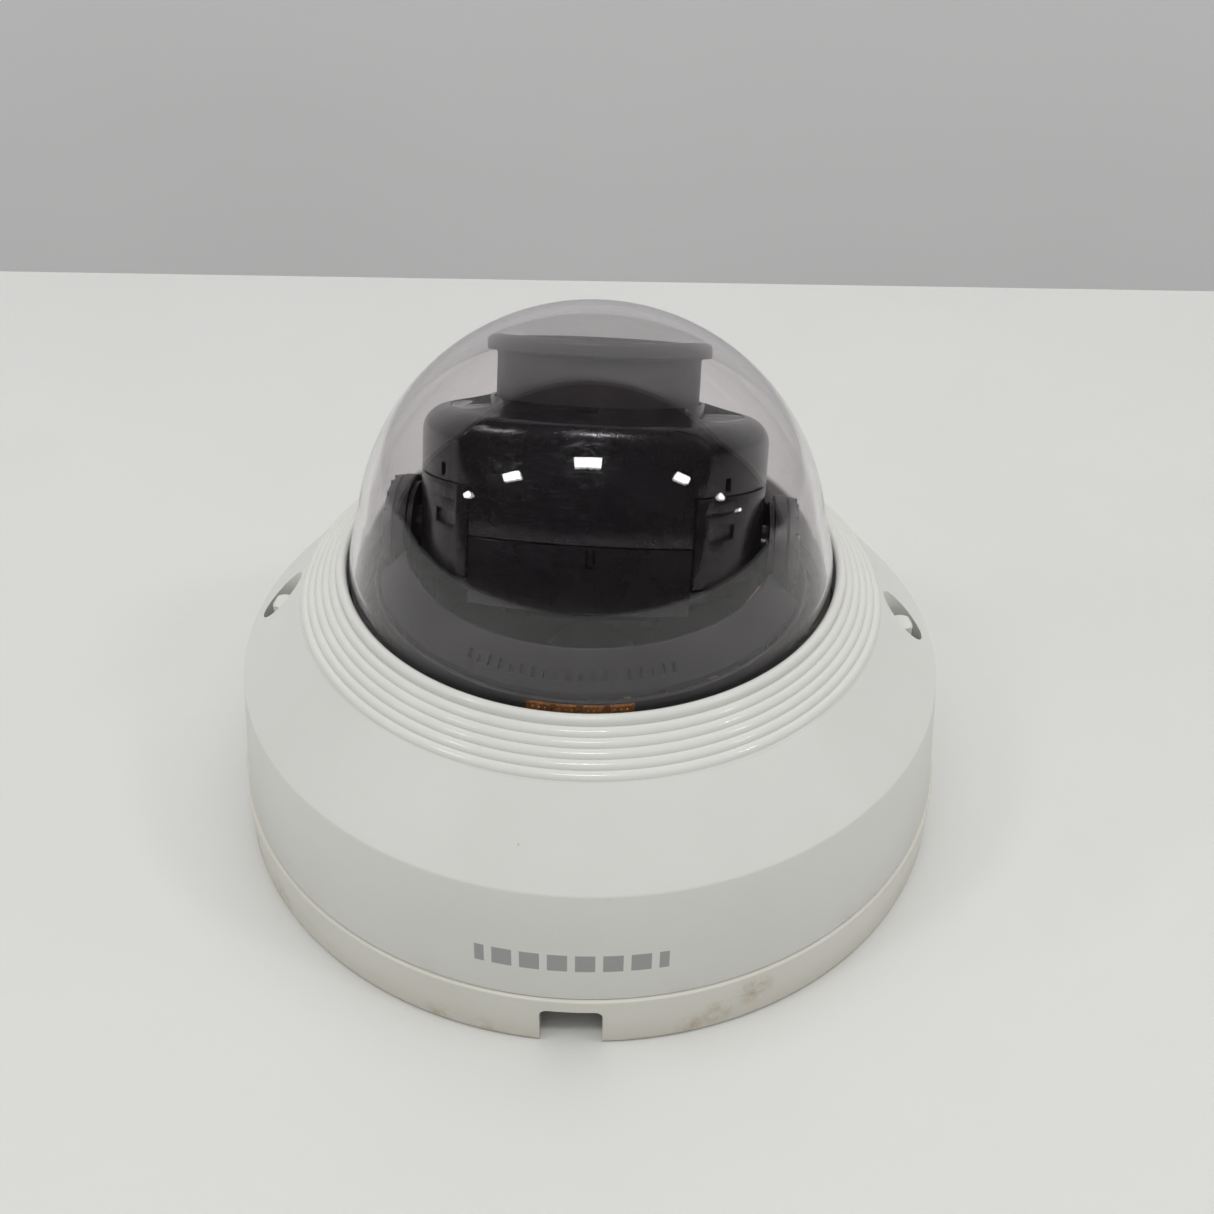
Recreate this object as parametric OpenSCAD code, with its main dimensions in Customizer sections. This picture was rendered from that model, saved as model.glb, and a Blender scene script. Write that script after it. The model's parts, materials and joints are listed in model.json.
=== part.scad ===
// Dome security camera: a round base, a white cover with a ribbed collar, a clear bubble, and a
// camera module that pans, tilts and rotates inside it.
// Millimetres. Z = 0 is the plane that rests on the ceiling or table, +Z runs up the axis of the
// bubble, and the cable notch faces -Y.

/* [Base] */
// Outer radius of the base
base_r = 68.5; // [68.5:0.1:69.5]
// Height of the base band
base_h = 11; // [11:0.1:11.4]
// Thickness of the base's skirt wall
base_wall = 3; // [2.6:0.1:3.4]
// Width of the cable notch in the skirt
notch_w = 10.7; // [8:0.1:14]
// Height of the cable notch
notch_h = 8.4; // [6:0.1:8.6]
// Radius of the circle of wall-mounting holes
mount_circle_r = 57; // [56:0.1:57.5]
// Radius of a wall-mounting hole
mount_hole_r = 2.25; // [2:0.05:2.5]
// Radius of the cable entry hole in the floor
cable_hole_r = 8; // [7:0.1:8.2]

/* [Cover] */
// Radius of the cover where it meets the base
cover_r = 68; // [67.6:0.1:68.2]
// Radius of the cover at its shoulder
shoulder_r = 65.8; // [65.6:0.1:66]
// Height of the cover's shoulder
shoulder_z = 34; // [33.5:0.1:34.5]
// Wall thickness of the cover
cover_wall = 2.6; // [2.4:0.1:2.8]
// Radius of the collar's outermost rib
collar_r = 53.7; // [53.5:0.1:54]
// Height of the collar's outermost rib
collar_z = 47.5; // [47.4:0.1:47.6]
// Radius of the hole that the bubble stands in
hole_r = 44.9; // [44.7:0.1:45.1]
// Height of the lip round that hole
hole_z = 54.6; // [54.4:0.1:54.8]
// Number of ribs on the collar
ribs = 5; // [3:1:7]
// Distance of the two cover screws from the axis
screw_x = 59; // [58.8:0.1:59.2]
// Radius of a cover screw's pocket
pocket_r = 4.15; // [4:0.05:4.3]

/* [Bubble] */
// Outer radius of the clear bubble's round cap
bubble_r = 42.6; // [42.4:0.1:42.7]
// Height of the bubble's centre, where the camera pivots
pivot_z = 57.4; // [57.3:0.1:57.5]
// Wall thickness of the bubble
bubble_wall = 1.6; // [1.5:0.05:1.7]

/* [Pose at rest] */
// Turn of the camera about the vertical axis
pan_rest = -3; // [-30:1:30]
// Backward lean of the camera
tilt_rest = 24; // [0:1:40]

/* [Camera module] */
// Radius of the round module body
module_r = 31; // [30.5:0.1:31]
// Distance of the module's face from the pivot, next to the lens hood
face_w = 25.3; // [25:0.1:25.5]
// Outer radius of the lens hood's neck
neck_r = 18.1; // [17.8:0.1:18.1]
// Outer radius of the lens hood's flange
flange_r = 19.9; // [19.4:0.1:19.9]
// Distance of the lens hood's front from the pivot
hood_w = 35.7; // [35.3:0.1:35.7]
// Number of infrared emitters on each side
emitters = 4; // [2:1:4]

/* [Hidden] */

$fn = 96;
eps = 0.01;
cut = 1;              // how far a cutting shape runs past a face

// Colours
ivory = [0.80, 0.77, 0.69];
white_paint = [0.86, 0.86, 0.83];
clear_plastic = [0.62, 0.60, 0.62, 0.3];
black_plastic = [0.13, 0.13, 0.14];
dark_plastic = [0.09, 0.09, 0.10];
liner_grey = [0.26, 0.25, 0.26];
soft_rubber = [0.20, 0.19, 0.20];
zinc = [0.62, 0.63, 0.65];
board_green = [0.06, 0.28, 0.16];
chip_black = [0.08, 0.08, 0.09];

// Base levels
floor_z = 8.6;                       // underside of the base's floor
floor_top = base_h;
spigot_h = 3.6;                      // locating rim above the floor
seal_ri = 66.05;
seal_ro = 67.35;
seal_h = 1.15;
post_xy = 34;                        // the four chassis posts stand on a square
post_r = 3.5;
plate_z = 24.5;                      // underside of the chassis plate
plate_t = 2;
mount_boss_r = 5;
grommet_y = 45;
boss_top = 27.4;                     // top of the two bosses for the cover screws

// Cover levels
pocket_floor_z = 30;
pocket_floor_t = 2.4;
seat_z = 48.4;                       // underside of the collar, where the gasket sits
lip_w = 2;                           // width of the rolled lip
rib_dr = (collar_r - hole_r - lip_w) / ribs;
rib_dz = (hole_z - collar_z - 1.6) / ribs;
cone_slope = (collar_z - shoulder_z) / (shoulder_r - collar_r);
retainer_circle_r = 49.5;
retainer_count = 6;
retainer_boss_r = 2.6;
retainer_z = 43.4;
retainer_t = 2;
bubble_flange_r = 46.6;
bubble_flange_z = 45.4;
bubble_flange_t = 2.2;
skirt_r = 44.35;                     // the bubble widens to this radius under its cap
skirt_flare = 14;

// Main board
board_z = 13;
board_t = 1.6;
board_top = board_z + board_t;
board_half_x = 29.5;
board_back_y = 34;
board_front_y = -38;
board_hole_x = 25.5;
board_hole_ys = [board_front_y + 4, board_back_y - 4];
board_holes = [for (x = [-board_hole_x, board_hole_x]) for (y = board_hole_ys) [x, y]];
button_xy = [-20, -27];
button_r = 1.65;
jack_y = 17;
jack_size = [16, 21, 13];

// Pan turret
hub_r = 11.95;
hub_bore_r = 8.8;
chassis_bore_r = 12;
bearing_t = 1.9;
turret_z = plate_z + plate_t + bearing_t;
turret_t = 2;
hub_end_z = plate_z - 0.2;
hub_ring_t = 1.5;
turret_r = 36.2;
arm_x0 = 32.8;
arm_x1 = 34.8;
arm_r = 9.6;
tilt_shaft_r = 4;
bushing_bore_r = tilt_shaft_r + 0.05;
knob_r = 9.4;
knob_x1 = 37.2;

// Liner and shroud
liner_ro = 39.9;
liner_ri = 39.1;
liner_top = 52.2;
shroud_r = 38.7;
shroud_z = 53.2;
opening_r = 33.6;
opening_z = 59;
shroud_t = 1.3;
shroud_foot_t = 0.8;
harness_r = 33.1;
harness_wire_r = 0.6;
harness_start = -62;
clip_angle = -19.5;
harness_route = concat(
  harness_leg(harness_start, 1),
  [for (a = [harness_start + 2 : 3.85 : clip_angle - 2]) polar(harness_r, a, 57)],
  harness_leg(clip_angle, -1));

// Camera module, in its own frame: Z along the optical axis from the pivot, X along the tilt axis
seam_w = 3.3;
rear_w = -6;
skirt_w = -8;                        // lower edge of the front wall
face_rise = 2;                       // how far the face rises from its rim to the hood
rim_w = face_w - face_rise;
corner_r = 4.5;
shell_t = 1.7;
front_y = 27;                        // how far the flattened front and back stand from the axis
front_arc_r = 60;
cheek_angle = 51.5;                    // half the arc that a side cheek covers
cheek_w0 = -3.5;
cheek_w1 = 11.8;
cheek_t = 1.8;
tab_y = 23.7;                        // the two screws that hold the shells to the bracket
bridge_w = -8;
bridge_t = 2;
bridge_bore_r = 20;
holder_r = 19.95;
neck_clear_r = 18.5;
led_board_w = 18.4;
window_r0 = 19.6;
window_r1 = 26;
window_arc = 62;
window_mid = 80;                     // turn of a window's middle from the module's front
window_t = 1.4;
window_inset = 0.65;

// ---- shared shapes ----

module ring(outer, inner, h) {
  difference() {
    cylinder(r = outer, h = h);
    translate([0, 0, -cut]) cylinder(r = inner, h = h + 2 * cut);
  }
}

// A box with round vertical edges, centred on X and Y
module round_box(size, r) {
  x = size[0] / 2 - r;
  y = size[1] / 2 - r;
  union() {
    translate([-x, -size[1] / 2, 0]) cube([2 * x, size[1], size[2]]);
    translate([-size[0] / 2, -y, 0]) cube([size[0], 2 * y, size[2]]);
    for (sx = [-x, x]) for (sy = [-y, y])
      translate([sx, sy, 0]) cylinder(r = r, h = size[2], $fn = 48);
  }
}

// Repeats its children at equal turns about Z
module turned(count, radius, start = 0) {
  for (i = [0 : count - 1])
    rotate([0, 0, start + i * 360 / count]) translate([radius, 0, 0]) children();
}

// The frames of the moving bodies at rest
module pan_frame() rotate([0, 0, pan_rest]) children();
module module_frame()
  translate([0, 0, pivot_z]) rotate([0, 0, pan_rest]) rotate([-tilt_rest, 0, 0]) children();

// A screw with its head up: the head stands on Z = 0 and the shank hangs below
module screw(head_r, head_h, shank_r, length, drive_r) {
  difference() {
    union() {
      cylinder(r = head_r, h = head_h, $fn = 48);
      translate([0, 0, -length]) cylinder(r = shank_r, h = length + eps, $fn = 48);
    }
    translate([0, 0, head_h / 2]) cylinder(r = drive_r, h = head_h, $fn = 6);
  }
}

// ---- base ----

module base_profile() {
  difference() {
    union() {
      translate([base_r - base_wall, 0.7]) square([base_wall, base_h - 0.7 - 0.3]);
      translate([base_r - base_wall, 0]) square([base_wall - 0.7, base_h]);
      translate([0, floor_z]) square([base_r - 0.3, base_h - floor_z]);
      translate([62.4, base_h]) square([2.2, spigot_h]);
    }
    translate([seal_ri, base_h - seal_h]) square([seal_ro - seal_ri, seal_h + cut]);
  }
}

module notch() {
  r = 1.4;
  w = notch_w / 2;
  translate([-w, -base_r - cut, -cut]) cube([notch_w, base_wall + 2 * cut, notch_h - r + cut]);
  translate([-w + r, -base_r - cut, 0]) cube([notch_w - 2 * r, base_wall + 2 * cut, notch_h]);
  for (x = [-w + r, w - r])
    translate([x, -base_r - cut, notch_h - r]) rotate([-90, 0, 0])
      cylinder(r = r, h = base_wall + 2 * cut, $fn = 48);
}

module base_housing() {
  color(ivory) difference() {
    union() {
      rotate_extrude($fn = 180) base_profile();
      turned(4, mount_circle_r, 45) cylinder(r = mount_boss_r, h = floor_z + eps);
      turned(2, screw_x) translate([0, 0, floor_z]) cylinder(r = 4.6, h = boss_top - floor_z);
      for (x = [-post_xy, post_xy]) for (y = [-post_xy, post_xy])
        translate([x, y, floor_z]) cylinder(r = post_r, h = plate_z - floor_z);
    }
    turned(4, mount_circle_r, 45) translate([0, 0, -cut]) cylinder(r = mount_hole_r, h = 20);
    turned(2, screw_x) translate([0, 0, 13]) cylinder(r = 2, h = 20);
    for (x = [-post_xy, post_xy]) for (y = [-post_xy, post_xy])
      translate([x, y, 14]) cylinder(r = 1.55, h = 20);
    for (p = board_holes) translate([p[0], p[1], floor_z - cut]) cylinder(r = 1.3, h = 10);
    translate([0, grommet_y, 0]) cylinder(r = cable_hole_r, h = 30);
    notch();
  }
}

module base_seal() {
  color(soft_rubber) translate([0, 0, base_h - seal_h])
    ring(seal_ro - 0.05, seal_ri + 0.05, seal_h);
}

module cable_grommet() {
  groove = base_h - floor_z;
  color(soft_rubber) translate([0, grommet_y, floor_z]) difference() {
    union() {
      translate([0, 0, -2.2]) cylinder(r1 = cable_hole_r - 0.6, r2 = cable_hole_r + 1.6, h = 2.2);
      cylinder(r = cable_hole_r - 0.05, h = groove);
      translate([0, 0, groove]) cylinder(r1 = cable_hole_r + 1.6, r2 = cable_hole_r - 0.6, h = 2.2);
    }
    translate([0, 0, -5]) cylinder(r = 3.2, h = 15);
  }
}

// ---- cover ----

// Outer line of the cover from the hole's lip down to the base, then back up inside it
module cover_profile() {
  union() {
    polygon([
      [hole_r, hole_z - 0.9], [hole_r + 1, hole_z - 0.4], [hole_r + lip_w, hole_z - 2],
      [collar_r, collar_z], [shoulder_r, shoulder_z], [cover_r, base_h],
      [cover_r - cover_wall, base_h], [shoulder_r - cover_wall, shoulder_z - 1.2],
      [50.8, shoulder_z - 1.2 + (shoulder_r - cover_wall - 50.8) * cone_slope],
      [50.6, seat_z], [hole_r, seat_z]
    ]);
    translate([hole_r + 0.95, hole_z - 0.95]) circle(r = 0.95, $fn = 48);
    for (i = [0 : ribs - 1])
      translate([
        hole_r + lip_w + (i + 0.42) * rib_dr,
        hole_z - 2.35 - (i + 0.42) * rib_dz
      ]) circle(r = 0.78, $fn = 48);
  }
}

module cover_solid() {
  rotate_extrude($fn = 180) cover_profile();
}

// Everything below the cover's outer surface, to trim the pocket tubes and bosses
module cover_envelope() {
  rotate_extrude($fn = 180) polygon([
    [0, base_h], [cover_r - 0.6, base_h], [shoulder_r - 0.8, shoulder_z - 0.2],
    [collar_r - 0.4, collar_z - 1], [0, collar_z - 1]
  ]);
}

module top_cover() {
  tube_r = pocket_r + 1.9;
  color(white_paint) difference() {
    union() {
      cover_solid();
      intersection() {
        cover_envelope();
        turned(2, screw_x) translate([0, 0, pocket_floor_z - pocket_floor_t])
          cylinder(r = tube_r, h = 30);
      }
      turned(retainer_count, retainer_circle_r, 30)
        translate([0, 0, retainer_z + retainer_t])
          cylinder(r = retainer_boss_r, h = seat_z - retainer_z - retainer_t + 0.4);
    }
    turned(2, screw_x) translate([0, 0, pocket_floor_z]) cylinder(r = pocket_r, h = 40);
    turned(2, screw_x) translate([0, 0, 20]) cylinder(r = 2.15, h = 40);
    turned(retainer_count, retainer_circle_r, 30)
      translate([0, 0, retainer_z]) cylinder(r = 1.3, h = 5.6);
  }
}

module cover_screws() {
  color(zinc) turned(2, screw_x) translate([0, 0, pocket_floor_z + 1.1])
    screw(3.6, 2.6, 1.9, 15, 1.7);
}

module cover_screw_seals() {
  color(soft_rubber) turned(2, screw_x) translate([0, 0, pocket_floor_z]) ring(3.7, 2, 1.1);
}

// A round cap that runs on into a flared skirt, a short straight wall and a flange
module dome_bubble() {
  inner = bubble_r - bubble_wall;
  wall_r = skirt_r - bubble_wall;
  slope = tan(skirt_flare);
  cap_steps = 38;
  function cap(r, i) = let (a = skirt_flare + (90 - skirt_flare) * i / cap_steps)
    [r * cos(a), pivot_z + r * sin(a)];
  function foot(r, wall) = let (end = cap(r, 0)) [wall, end[1] - (wall - end[0]) / slope];
  top_z = bubble_flange_z + bubble_flange_t;
  color(clear_plastic) rotate_extrude($fn = 180) polygon(concat(
    [for (i = [0 : cap_steps - 1]) cap(inner, i)], [[0, pivot_z + inner]],
    [[0, pivot_z + bubble_r]], [for (i = [cap_steps - 1 : -1 : 0]) cap(bubble_r, i)],
    [foot(bubble_r, skirt_r), [skirt_r, top_z], [bubble_flange_r, top_z],
      [bubble_flange_r, bubble_flange_z], [wall_r, bubble_flange_z], foot(inner, wall_r)]));
}

module dome_gasket() {
  bottom = bubble_flange_z + bubble_flange_t;
  color(soft_rubber) translate([0, 0, bottom])
    ring(bubble_flange_r - 0.1, skirt_r + 0.1, seat_z - bottom);
}

module dome_retainer_ring() {
  color(black_plastic) translate([0, 0, retainer_z]) difference() {
    ring(retainer_circle_r + 2.1, 43, retainer_t);
    turned(retainer_count, retainer_circle_r, 30)
      translate([0, 0, -cut]) cylinder(r = 1.45, h = 2 * cut + retainer_t);
  }
}

module retainer_screws() {
  color(zinc) turned(retainer_count, retainer_circle_r, 30)
    translate([0, 0, retainer_z]) mirror([0, 0, 1]) screw(2.3, 1.6, 1.2, 5, 1.1);
}

// ---- liner and chassis ----

module inner_liner() {
  foot_z = plate_z + plate_t;
  color(liner_grey) difference() {
    union() {
      rotate_extrude($fn = 180) polygon([
        [liner_ri, foot_z], [liner_ro, foot_z], [liner_ro, liner_top - 0.25],
        [liner_ro - 0.25, liner_top], [liner_ri + 0.25, liner_top], [liner_ri, liner_top - 0.25]
      ]);
      difference() {
        rotate([0, 0, 22.5]) turned(4, liner_ro + 1.6)
          translate([0, 0, foot_z + 0.1]) round_box([5, 7, 1.4], 1);
        translate([0, 0, foot_z - cut]) cylinder(r = (liner_ri + liner_ro) / 2, h = 5);
      }
    }
    rotate([0, 0, 22.5]) turned(4, liner_ro + 1.9)
      translate([0, 0, foot_z - cut]) cylinder(r = 1.1, h = 5);
  }
}

module liner_screws() {
  color(zinc) rotate([0, 0, 22.5]) turned(4, liner_ro + 1.9)
    translate([0, 0, plate_z + plate_t + 1.5]) screw(1.9, 1.2, 1.0, 3.4, 0.9);
}

// A flexible strip with four amber pads, bent round the front of the liner just under its rim
module contact_strip() {
  pads = 4;
  pad_turn = 4.9;
  pitch = 6.4;
  color([0.72, 0.36, 0.08]) union() {
    rotate([0, 0, -90 - pads * pitch / 2])
      rotate_extrude(angle = pads * pitch, $fn = 180)
        translate([liner_ro + 0.03, 48.4]) square([0.12, 3.4]);
    for (i = [0 : pads - 1])
      rotate([0, 0, -90 - pads * pitch / 2 + i * pitch + (pitch - pad_turn) / 2])
        rotate_extrude(angle = pad_turn, $fn = 180)
          translate([liner_ro + 0.05, 49.4]) square([0.28, 2.3]);
  }
}

module chassis_plate() {
  color(zinc) translate([0, 0, plate_z]) difference() {
    union() {
      cylinder(r = 46.5, h = plate_t);
      for (x = [-post_xy, post_xy]) for (y = [-post_xy, post_xy])
        translate([x, y, 0]) cylinder(r = 5, h = plate_t);
    }
    translate([0, 0, -cut]) cylinder(r = chassis_bore_r, h = 5);
    for (x = [-post_xy, post_xy]) for (y = [-post_xy, post_xy])
      translate([x, y, -cut]) cylinder(r = 1.7, h = 5);
    translate([-9.5, jack_y - 1, -cut]) cube([19, 40, 5]);
    translate([button_xy[0], button_xy[1], -cut]) cylinder(r = 3, h = 5);
    for (s = [-1, 1]) translate([s * 28, 0, -cut]) cylinder(r = 5, h = 5);
    rotate([0, 0, 22.5]) turned(4, liner_ro + 1.9) translate([0, 0, -cut]) cylinder(r = 1.1, h = 5);
  }
}

module chassis_screws() {
  color(zinc) for (x = [-post_xy, post_xy]) for (y = [-post_xy, post_xy])
    translate([x, y, plate_z + plate_t]) screw(2.9, 2, 1.5, 9, 1.3);
}

// ---- main board ----

module main_board() {
  width = 2 * board_half_x;
  depth = board_back_y - board_front_y;
  color(board_green) difference() {
    translate([0, (board_back_y + board_front_y) / 2, board_z])
      round_box([width, depth, board_t], 2);
    for (p = board_holes) translate([p[0], p[1], board_z - cut]) cylinder(r = 1.35, h = 5);
  }
}

module board_standoffs() {
  color([0.72, 0.58, 0.28]) for (p = board_holes)
    translate([p[0], p[1], floor_top]) ring(2.5, 1.3, board_z - floor_top);
}

module board_screws() {
  color(zinc) for (p = board_holes)
    translate([p[0], p[1], board_top]) screw(2.3, 1.5, 1.2, 5.5, 1.1);
}

module processor_chip() {
  color(chip_black) translate([0, -14, board_top]) round_box([15, 15, 1.4], 0.5);
}

module thermal_pad() {
  color([0.45, 0.55, 0.62]) translate([0, -14, board_top + 1.4]) round_box([14, 14, 0.8], 0.5);
}

module heat_sink() {
  fins = 8;
  size = 21;
  fin_t = 1.1;
  color([0.72, 0.73, 0.75]) translate([-size / 2, -14 - size / 2, board_top + 2.2]) union() {
    cube([size, size, 1.5]);
    for (i = [0 : fins - 1])
      translate([i * (size - fin_t) / (fins - 1), 0, 1]) cube([fin_t, size, 3.6]);
  }
}

module memory_chips() {
  color(chip_black) for (y = [-20, -7])
    translate([18.5, y, board_top]) round_box([9, 10.5, 1.1], 0.4);
}

module board_capacitors() {
  color([0.20, 0.22, 0.26]) for (p = [[-20, 4], [-20, 12], [-20, 20], [20, 6]])
    translate([p[0], p[1], board_top]) union() {
      cylinder(r = 3.1, h = 6.4, $fn = 48);
      translate([0, 0, 6.3]) cylinder(r = 2.7, h = 0.5, $fn = 48);
    }
}

module network_jack() {
  color(zinc) translate([-jack_size[0] / 2, jack_y, board_top]) difference() {
    cube(jack_size);
    translate([2, jack_size[1] - 13, 2.5]) cube([12, 14, 7]);
    translate([5, jack_size[1] - 13, 9.4]) cube([6, 14, 1.6]);
  }
}

module power_terminal() {
  color([0.10, 0.42, 0.22]) translate([21, 19, board_top]) difference() {
    translate([-5.2, -4, 0]) cube([10.4, 8, 8.4]);
    for (x = [-2.6, 2.6]) {
      translate([x, 0, 2]) rotate([-90, 0, 0]) cylinder(r = 1.4, h = 9, $fn = 32);
      translate([x, -0.4, 4]) cylinder(r = 1.7, h = 9, $fn = 32);
    }
  }
}

module card_socket() {
  color(zinc) translate([14, -33, board_top]) difference() {
    translate([-7, -4.6, 0]) cube([14, 12, 1.9]);
    translate([-5.6, -5.6, 0.5]) cube([11.2, 11, 0.9]);
  }
}

module reset_switch() {
  color(chip_black) translate([button_xy[0], button_xy[1], board_top]) difference() {
    translate([-3, -3, 0]) cube([6, 6, 3.5]);
    translate([0, 0, 1]) cylinder(r = 2.25, h = 1.7, $fn = 48);
    translate([0, 0, 1]) cylinder(r = button_r + 0.05, h = 5, $fn = 48);
  }
}

module reset_button() {
  color([0.75, 0.20, 0.14]) translate([button_xy[0], button_xy[1], board_top]) union() {
    translate([0, 0, 1.7]) cylinder(r = button_r, h = 3.6, $fn = 48);
    translate([0, 0, 1.7]) cylinder(r = 2.1, h = 0.9, $fn = 48);
  }
}

// ---- pan ----

module pan_bearing_ring() {
  color([0.85, 0.84, 0.78]) translate([0, 0, plate_z + plate_t]) ring(16, 12.2, bearing_t - 0.05);
}

// One arm of the yoke, on the +X side
module yoke_arm() {
  bottom = turret_z;
  intersection() {
    difference() {
      union() {
        translate([arm_x0, -arm_r, bottom]) cube([arm_x1 - arm_x0, 2 * arm_r, pivot_z - bottom]);
        translate([arm_x0, 0, pivot_z]) rotate([0, 90, 0]) cylinder(r = arm_r, h = arm_x1 - arm_x0);
      }
      translate([arm_x0 - cut, 0, pivot_z]) rotate([0, 90, 0])
        cylinder(r = tilt_shaft_r + 1.6, h = 5);
      translate([arm_x0 - cut, 0, 38]) rotate([0, 90, 0]) cylinder(r = 4, h = 5);
    }
    cylinder(r = turret_r, h = 90);
  }
}

module pan_turret() {
  color(black_plastic) pan_frame() union() {
    difference() {
      union() {
        translate([0, 0, turret_z]) cylinder(r = turret_r, h = turret_t);
        translate([0, 0, hub_end_z]) cylinder(r = hub_r, h = turret_z - hub_end_z + eps);
      }
      translate([0, 0, plate_z - 5]) cylinder(r = hub_bore_r, h = 20);
      turned(3, 10.35, 90) translate([0, 0, hub_end_z - cut]) cylinder(r = 0.75, h = 4.5, $fn = 32);
      for (s = [-1, 1]) translate([0, s * 24, turret_z - cut]) cylinder(r = 6, h = 5);
    }
    yoke_arm();
    mirror([1, 0, 0]) yoke_arm();
  }
}

// The solid under the shroud's cone, to trim its legs
module shroud_envelope() {
  rotate_extrude($fn = 180) polygon([
    [0, 0], [shroud_r - 0.8, 0], [shroud_r - 0.8, shroud_z - 0.6],
    [opening_r + 0.2, opening_z - 0.8], [0, opening_z - 0.8]
  ]);
}

// A cone that hides the mechanism, open at the back so that the module can lean over
module pan_shroud() {
  foot_z = turret_z + turret_t;
  color(liner_grey) pan_frame() difference() {
    union() {
      rotate_extrude($fn = 180) polygon([
        [shroud_r, shroud_z - 1.2], [shroud_r, shroud_z], [opening_r + 0.5, opening_z],
        [opening_r, opening_z - 0.2], [opening_r, opening_z - 1.4],
        [shroud_r - shroud_t, shroud_z - 1.2]
      ]);
      intersection() {
        shroud_envelope();
        union() {
          for (a = [-150, -90, -30]) rotate([0, 0, a])
            translate([34.1, -3, foot_z]) cube([1.6, 6, 30]);
          for (s = [0, 1]) mirror([s, 0, 0])
            translate([33, 11, foot_z]) cube([1.5, 3, 30]);
        }
      }
      translate([0, 0, foot_z]) ring(turret_r - 0.1, 30.6, shroud_foot_t);
    }
    for (s = [-1, 1]) {
      translate([s * 36, 0, pivot_z]) rotate([0, 90, 0])
        cylinder(r = arm_r + 0.7, h = 12, center = true);
      translate([s * 40.3 - 8, -10, foot_z - cut]) cube([16, 20, 20]);
    }
    translate([-32.4, 0, foot_z + shroud_foot_t]) cube([64.8, 50, 60]);
  }
}

module pan_retaining_ring() {
  color(black_plastic) pan_frame() translate([0, 0, hub_end_z - hub_ring_t]) difference() {
    ring(15.5, hub_bore_r, hub_ring_t);
    turned(3, 10.35, 90) translate([0, 0, -cut]) cylinder(r = 0.85, h = 5, $fn = 32);
  }
}

module pan_ring_screws() {
  color(zinc) pan_frame() turned(3, 10.35, 90) translate([0, 0, hub_end_z - hub_ring_t])
    mirror([0, 0, 1]) screw(1.4, 0.9, 0.7, 4.4, 0.7);
}

module tilt_bushings() {
  color([0.20, 0.19, 0.20]) pan_frame() for (s = [0, 1]) mirror([s, 0, 0])
    translate([arm_x0 - 0.9, 0, pivot_z]) rotate([0, 90, 0]) union() {
      ring(tilt_shaft_r + 1.55, bushing_bore_r, arm_x1 - arm_x0 + 1.2);
      ring(8.4, bushing_bore_r, 0.85);
    }
}

// A loop of tan lead that rises from the hub, runs round the front right of the opening and
// goes back down
function unit(v) = v / norm(v);
function polar(r, a, z) = [r * cos(a), r * sin(a), z];

// A lead from the hub's middle out along the turret and up to the loop, or back down
function harness_leg(a, way) = let (leg = [
    polar(3, a, 22), polar(3, a, 30.8), polar(3.3, a, 31.6), polar(4, a, 31.9),
    polar(32.1, a, 31.9), polar(32.8, a, 32.2), polar(harness_r, a, 32.9),
    polar(harness_r, a, 56), polar(harness_r, a + way * 0.6, 56.75)])
  [for (i = [0 : 8]) leg[way > 0 ? i : 8 - i]];

// The side vector of each ring of a tube, carried along without twist
function carried(dirs, side, i = 0) = i == len(dirs) ? []
  : let (s = unit(side - (side * dirs[i]) * dirs[i])) concat([s], carried(dirs, s, i + 1));

// One closed tube with 8 sides along a route of points
module tube(route, r, side) {
  n = len(route);
  dirs = [for (i = [0 : n - 1]) unit(
    (i < n - 1 ? unit(route[i + 1] - route[i]) : [0, 0, 0])
    + (i > 0 ? unit(route[i] - route[i - 1]) : [0, 0, 0]))];
  sides = carried(dirs, side);
  points = [for (i = [0 : n - 1]) for (k = [0 : 7])
    route[i] + r * (cos(45 * k) * sides[i] + sin(45 * k) * cross(dirs[i], sides[i]))];
  walls = [for (i = [0 : n - 2]) for (k = [0 : 7]) let (a = 8 * i + k, b = 8 * i + (k + 1) % 8)
    each [[a, a + 8, b + 8], [a, b + 8, b]]];
  polyhedron(points = points, faces = concat(
    walls, [[for (k = [0 : 7]) k], [for (k = [7 : -1 : 0]) 8 * (n - 1) + k]]));
}

module camera_harness() {
  color([0.66, 0.55, 0.36]) pan_frame() tube(harness_route, harness_wire_r, [1, 0, 0]);
}

module wire_clip() {
  color([0.55, 0.50, 0.05]) pan_frame() rotate([0, 0, clip_angle]) translate([harness_r, 0, 50])
    difference() {
      round_box([2, 2.6, 6], 0.5);
      translate([0, 0, -cut]) cylinder(r = 0.7, h = 9, $fn = 32);
    }
}

// ---- tilt: the camera module ----

// The module's outline: round at the sides, flatter at the front and back. It spans w0 to w1,
// stands inside the full size by inset, its upper edge is rounded by edge, and its face then
// rises towards the middle by rise.
module module_body(inset, w0, w1, edge, rise = 0) {
  module slab(r, e) {
    rotate_extrude($fn = 180) union() {
      translate([0, w0]) square([r, w1 - w0 - e]);
      translate([0, w0]) square([r - e, w1 - w0]);
      if (e > 0) translate([r - e, w1 - e]) circle(r = e, $fn = 64);
      if (rise > 0) polygon([[0, w1], [r - e, w1], [r - e - 7.5, w1 + rise], [0, w1 + rise]]);
    }
  }
  offset_y = front_arc_r - front_y;
  intersection() {
    slab(module_r - inset, edge);
    translate([0, offset_y, 0]) slab(front_arc_r - inset, edge * 0.55);
    translate([0, -offset_y, 0]) slab(front_arc_r - inset, edge * 0.55);
  }
}

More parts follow.
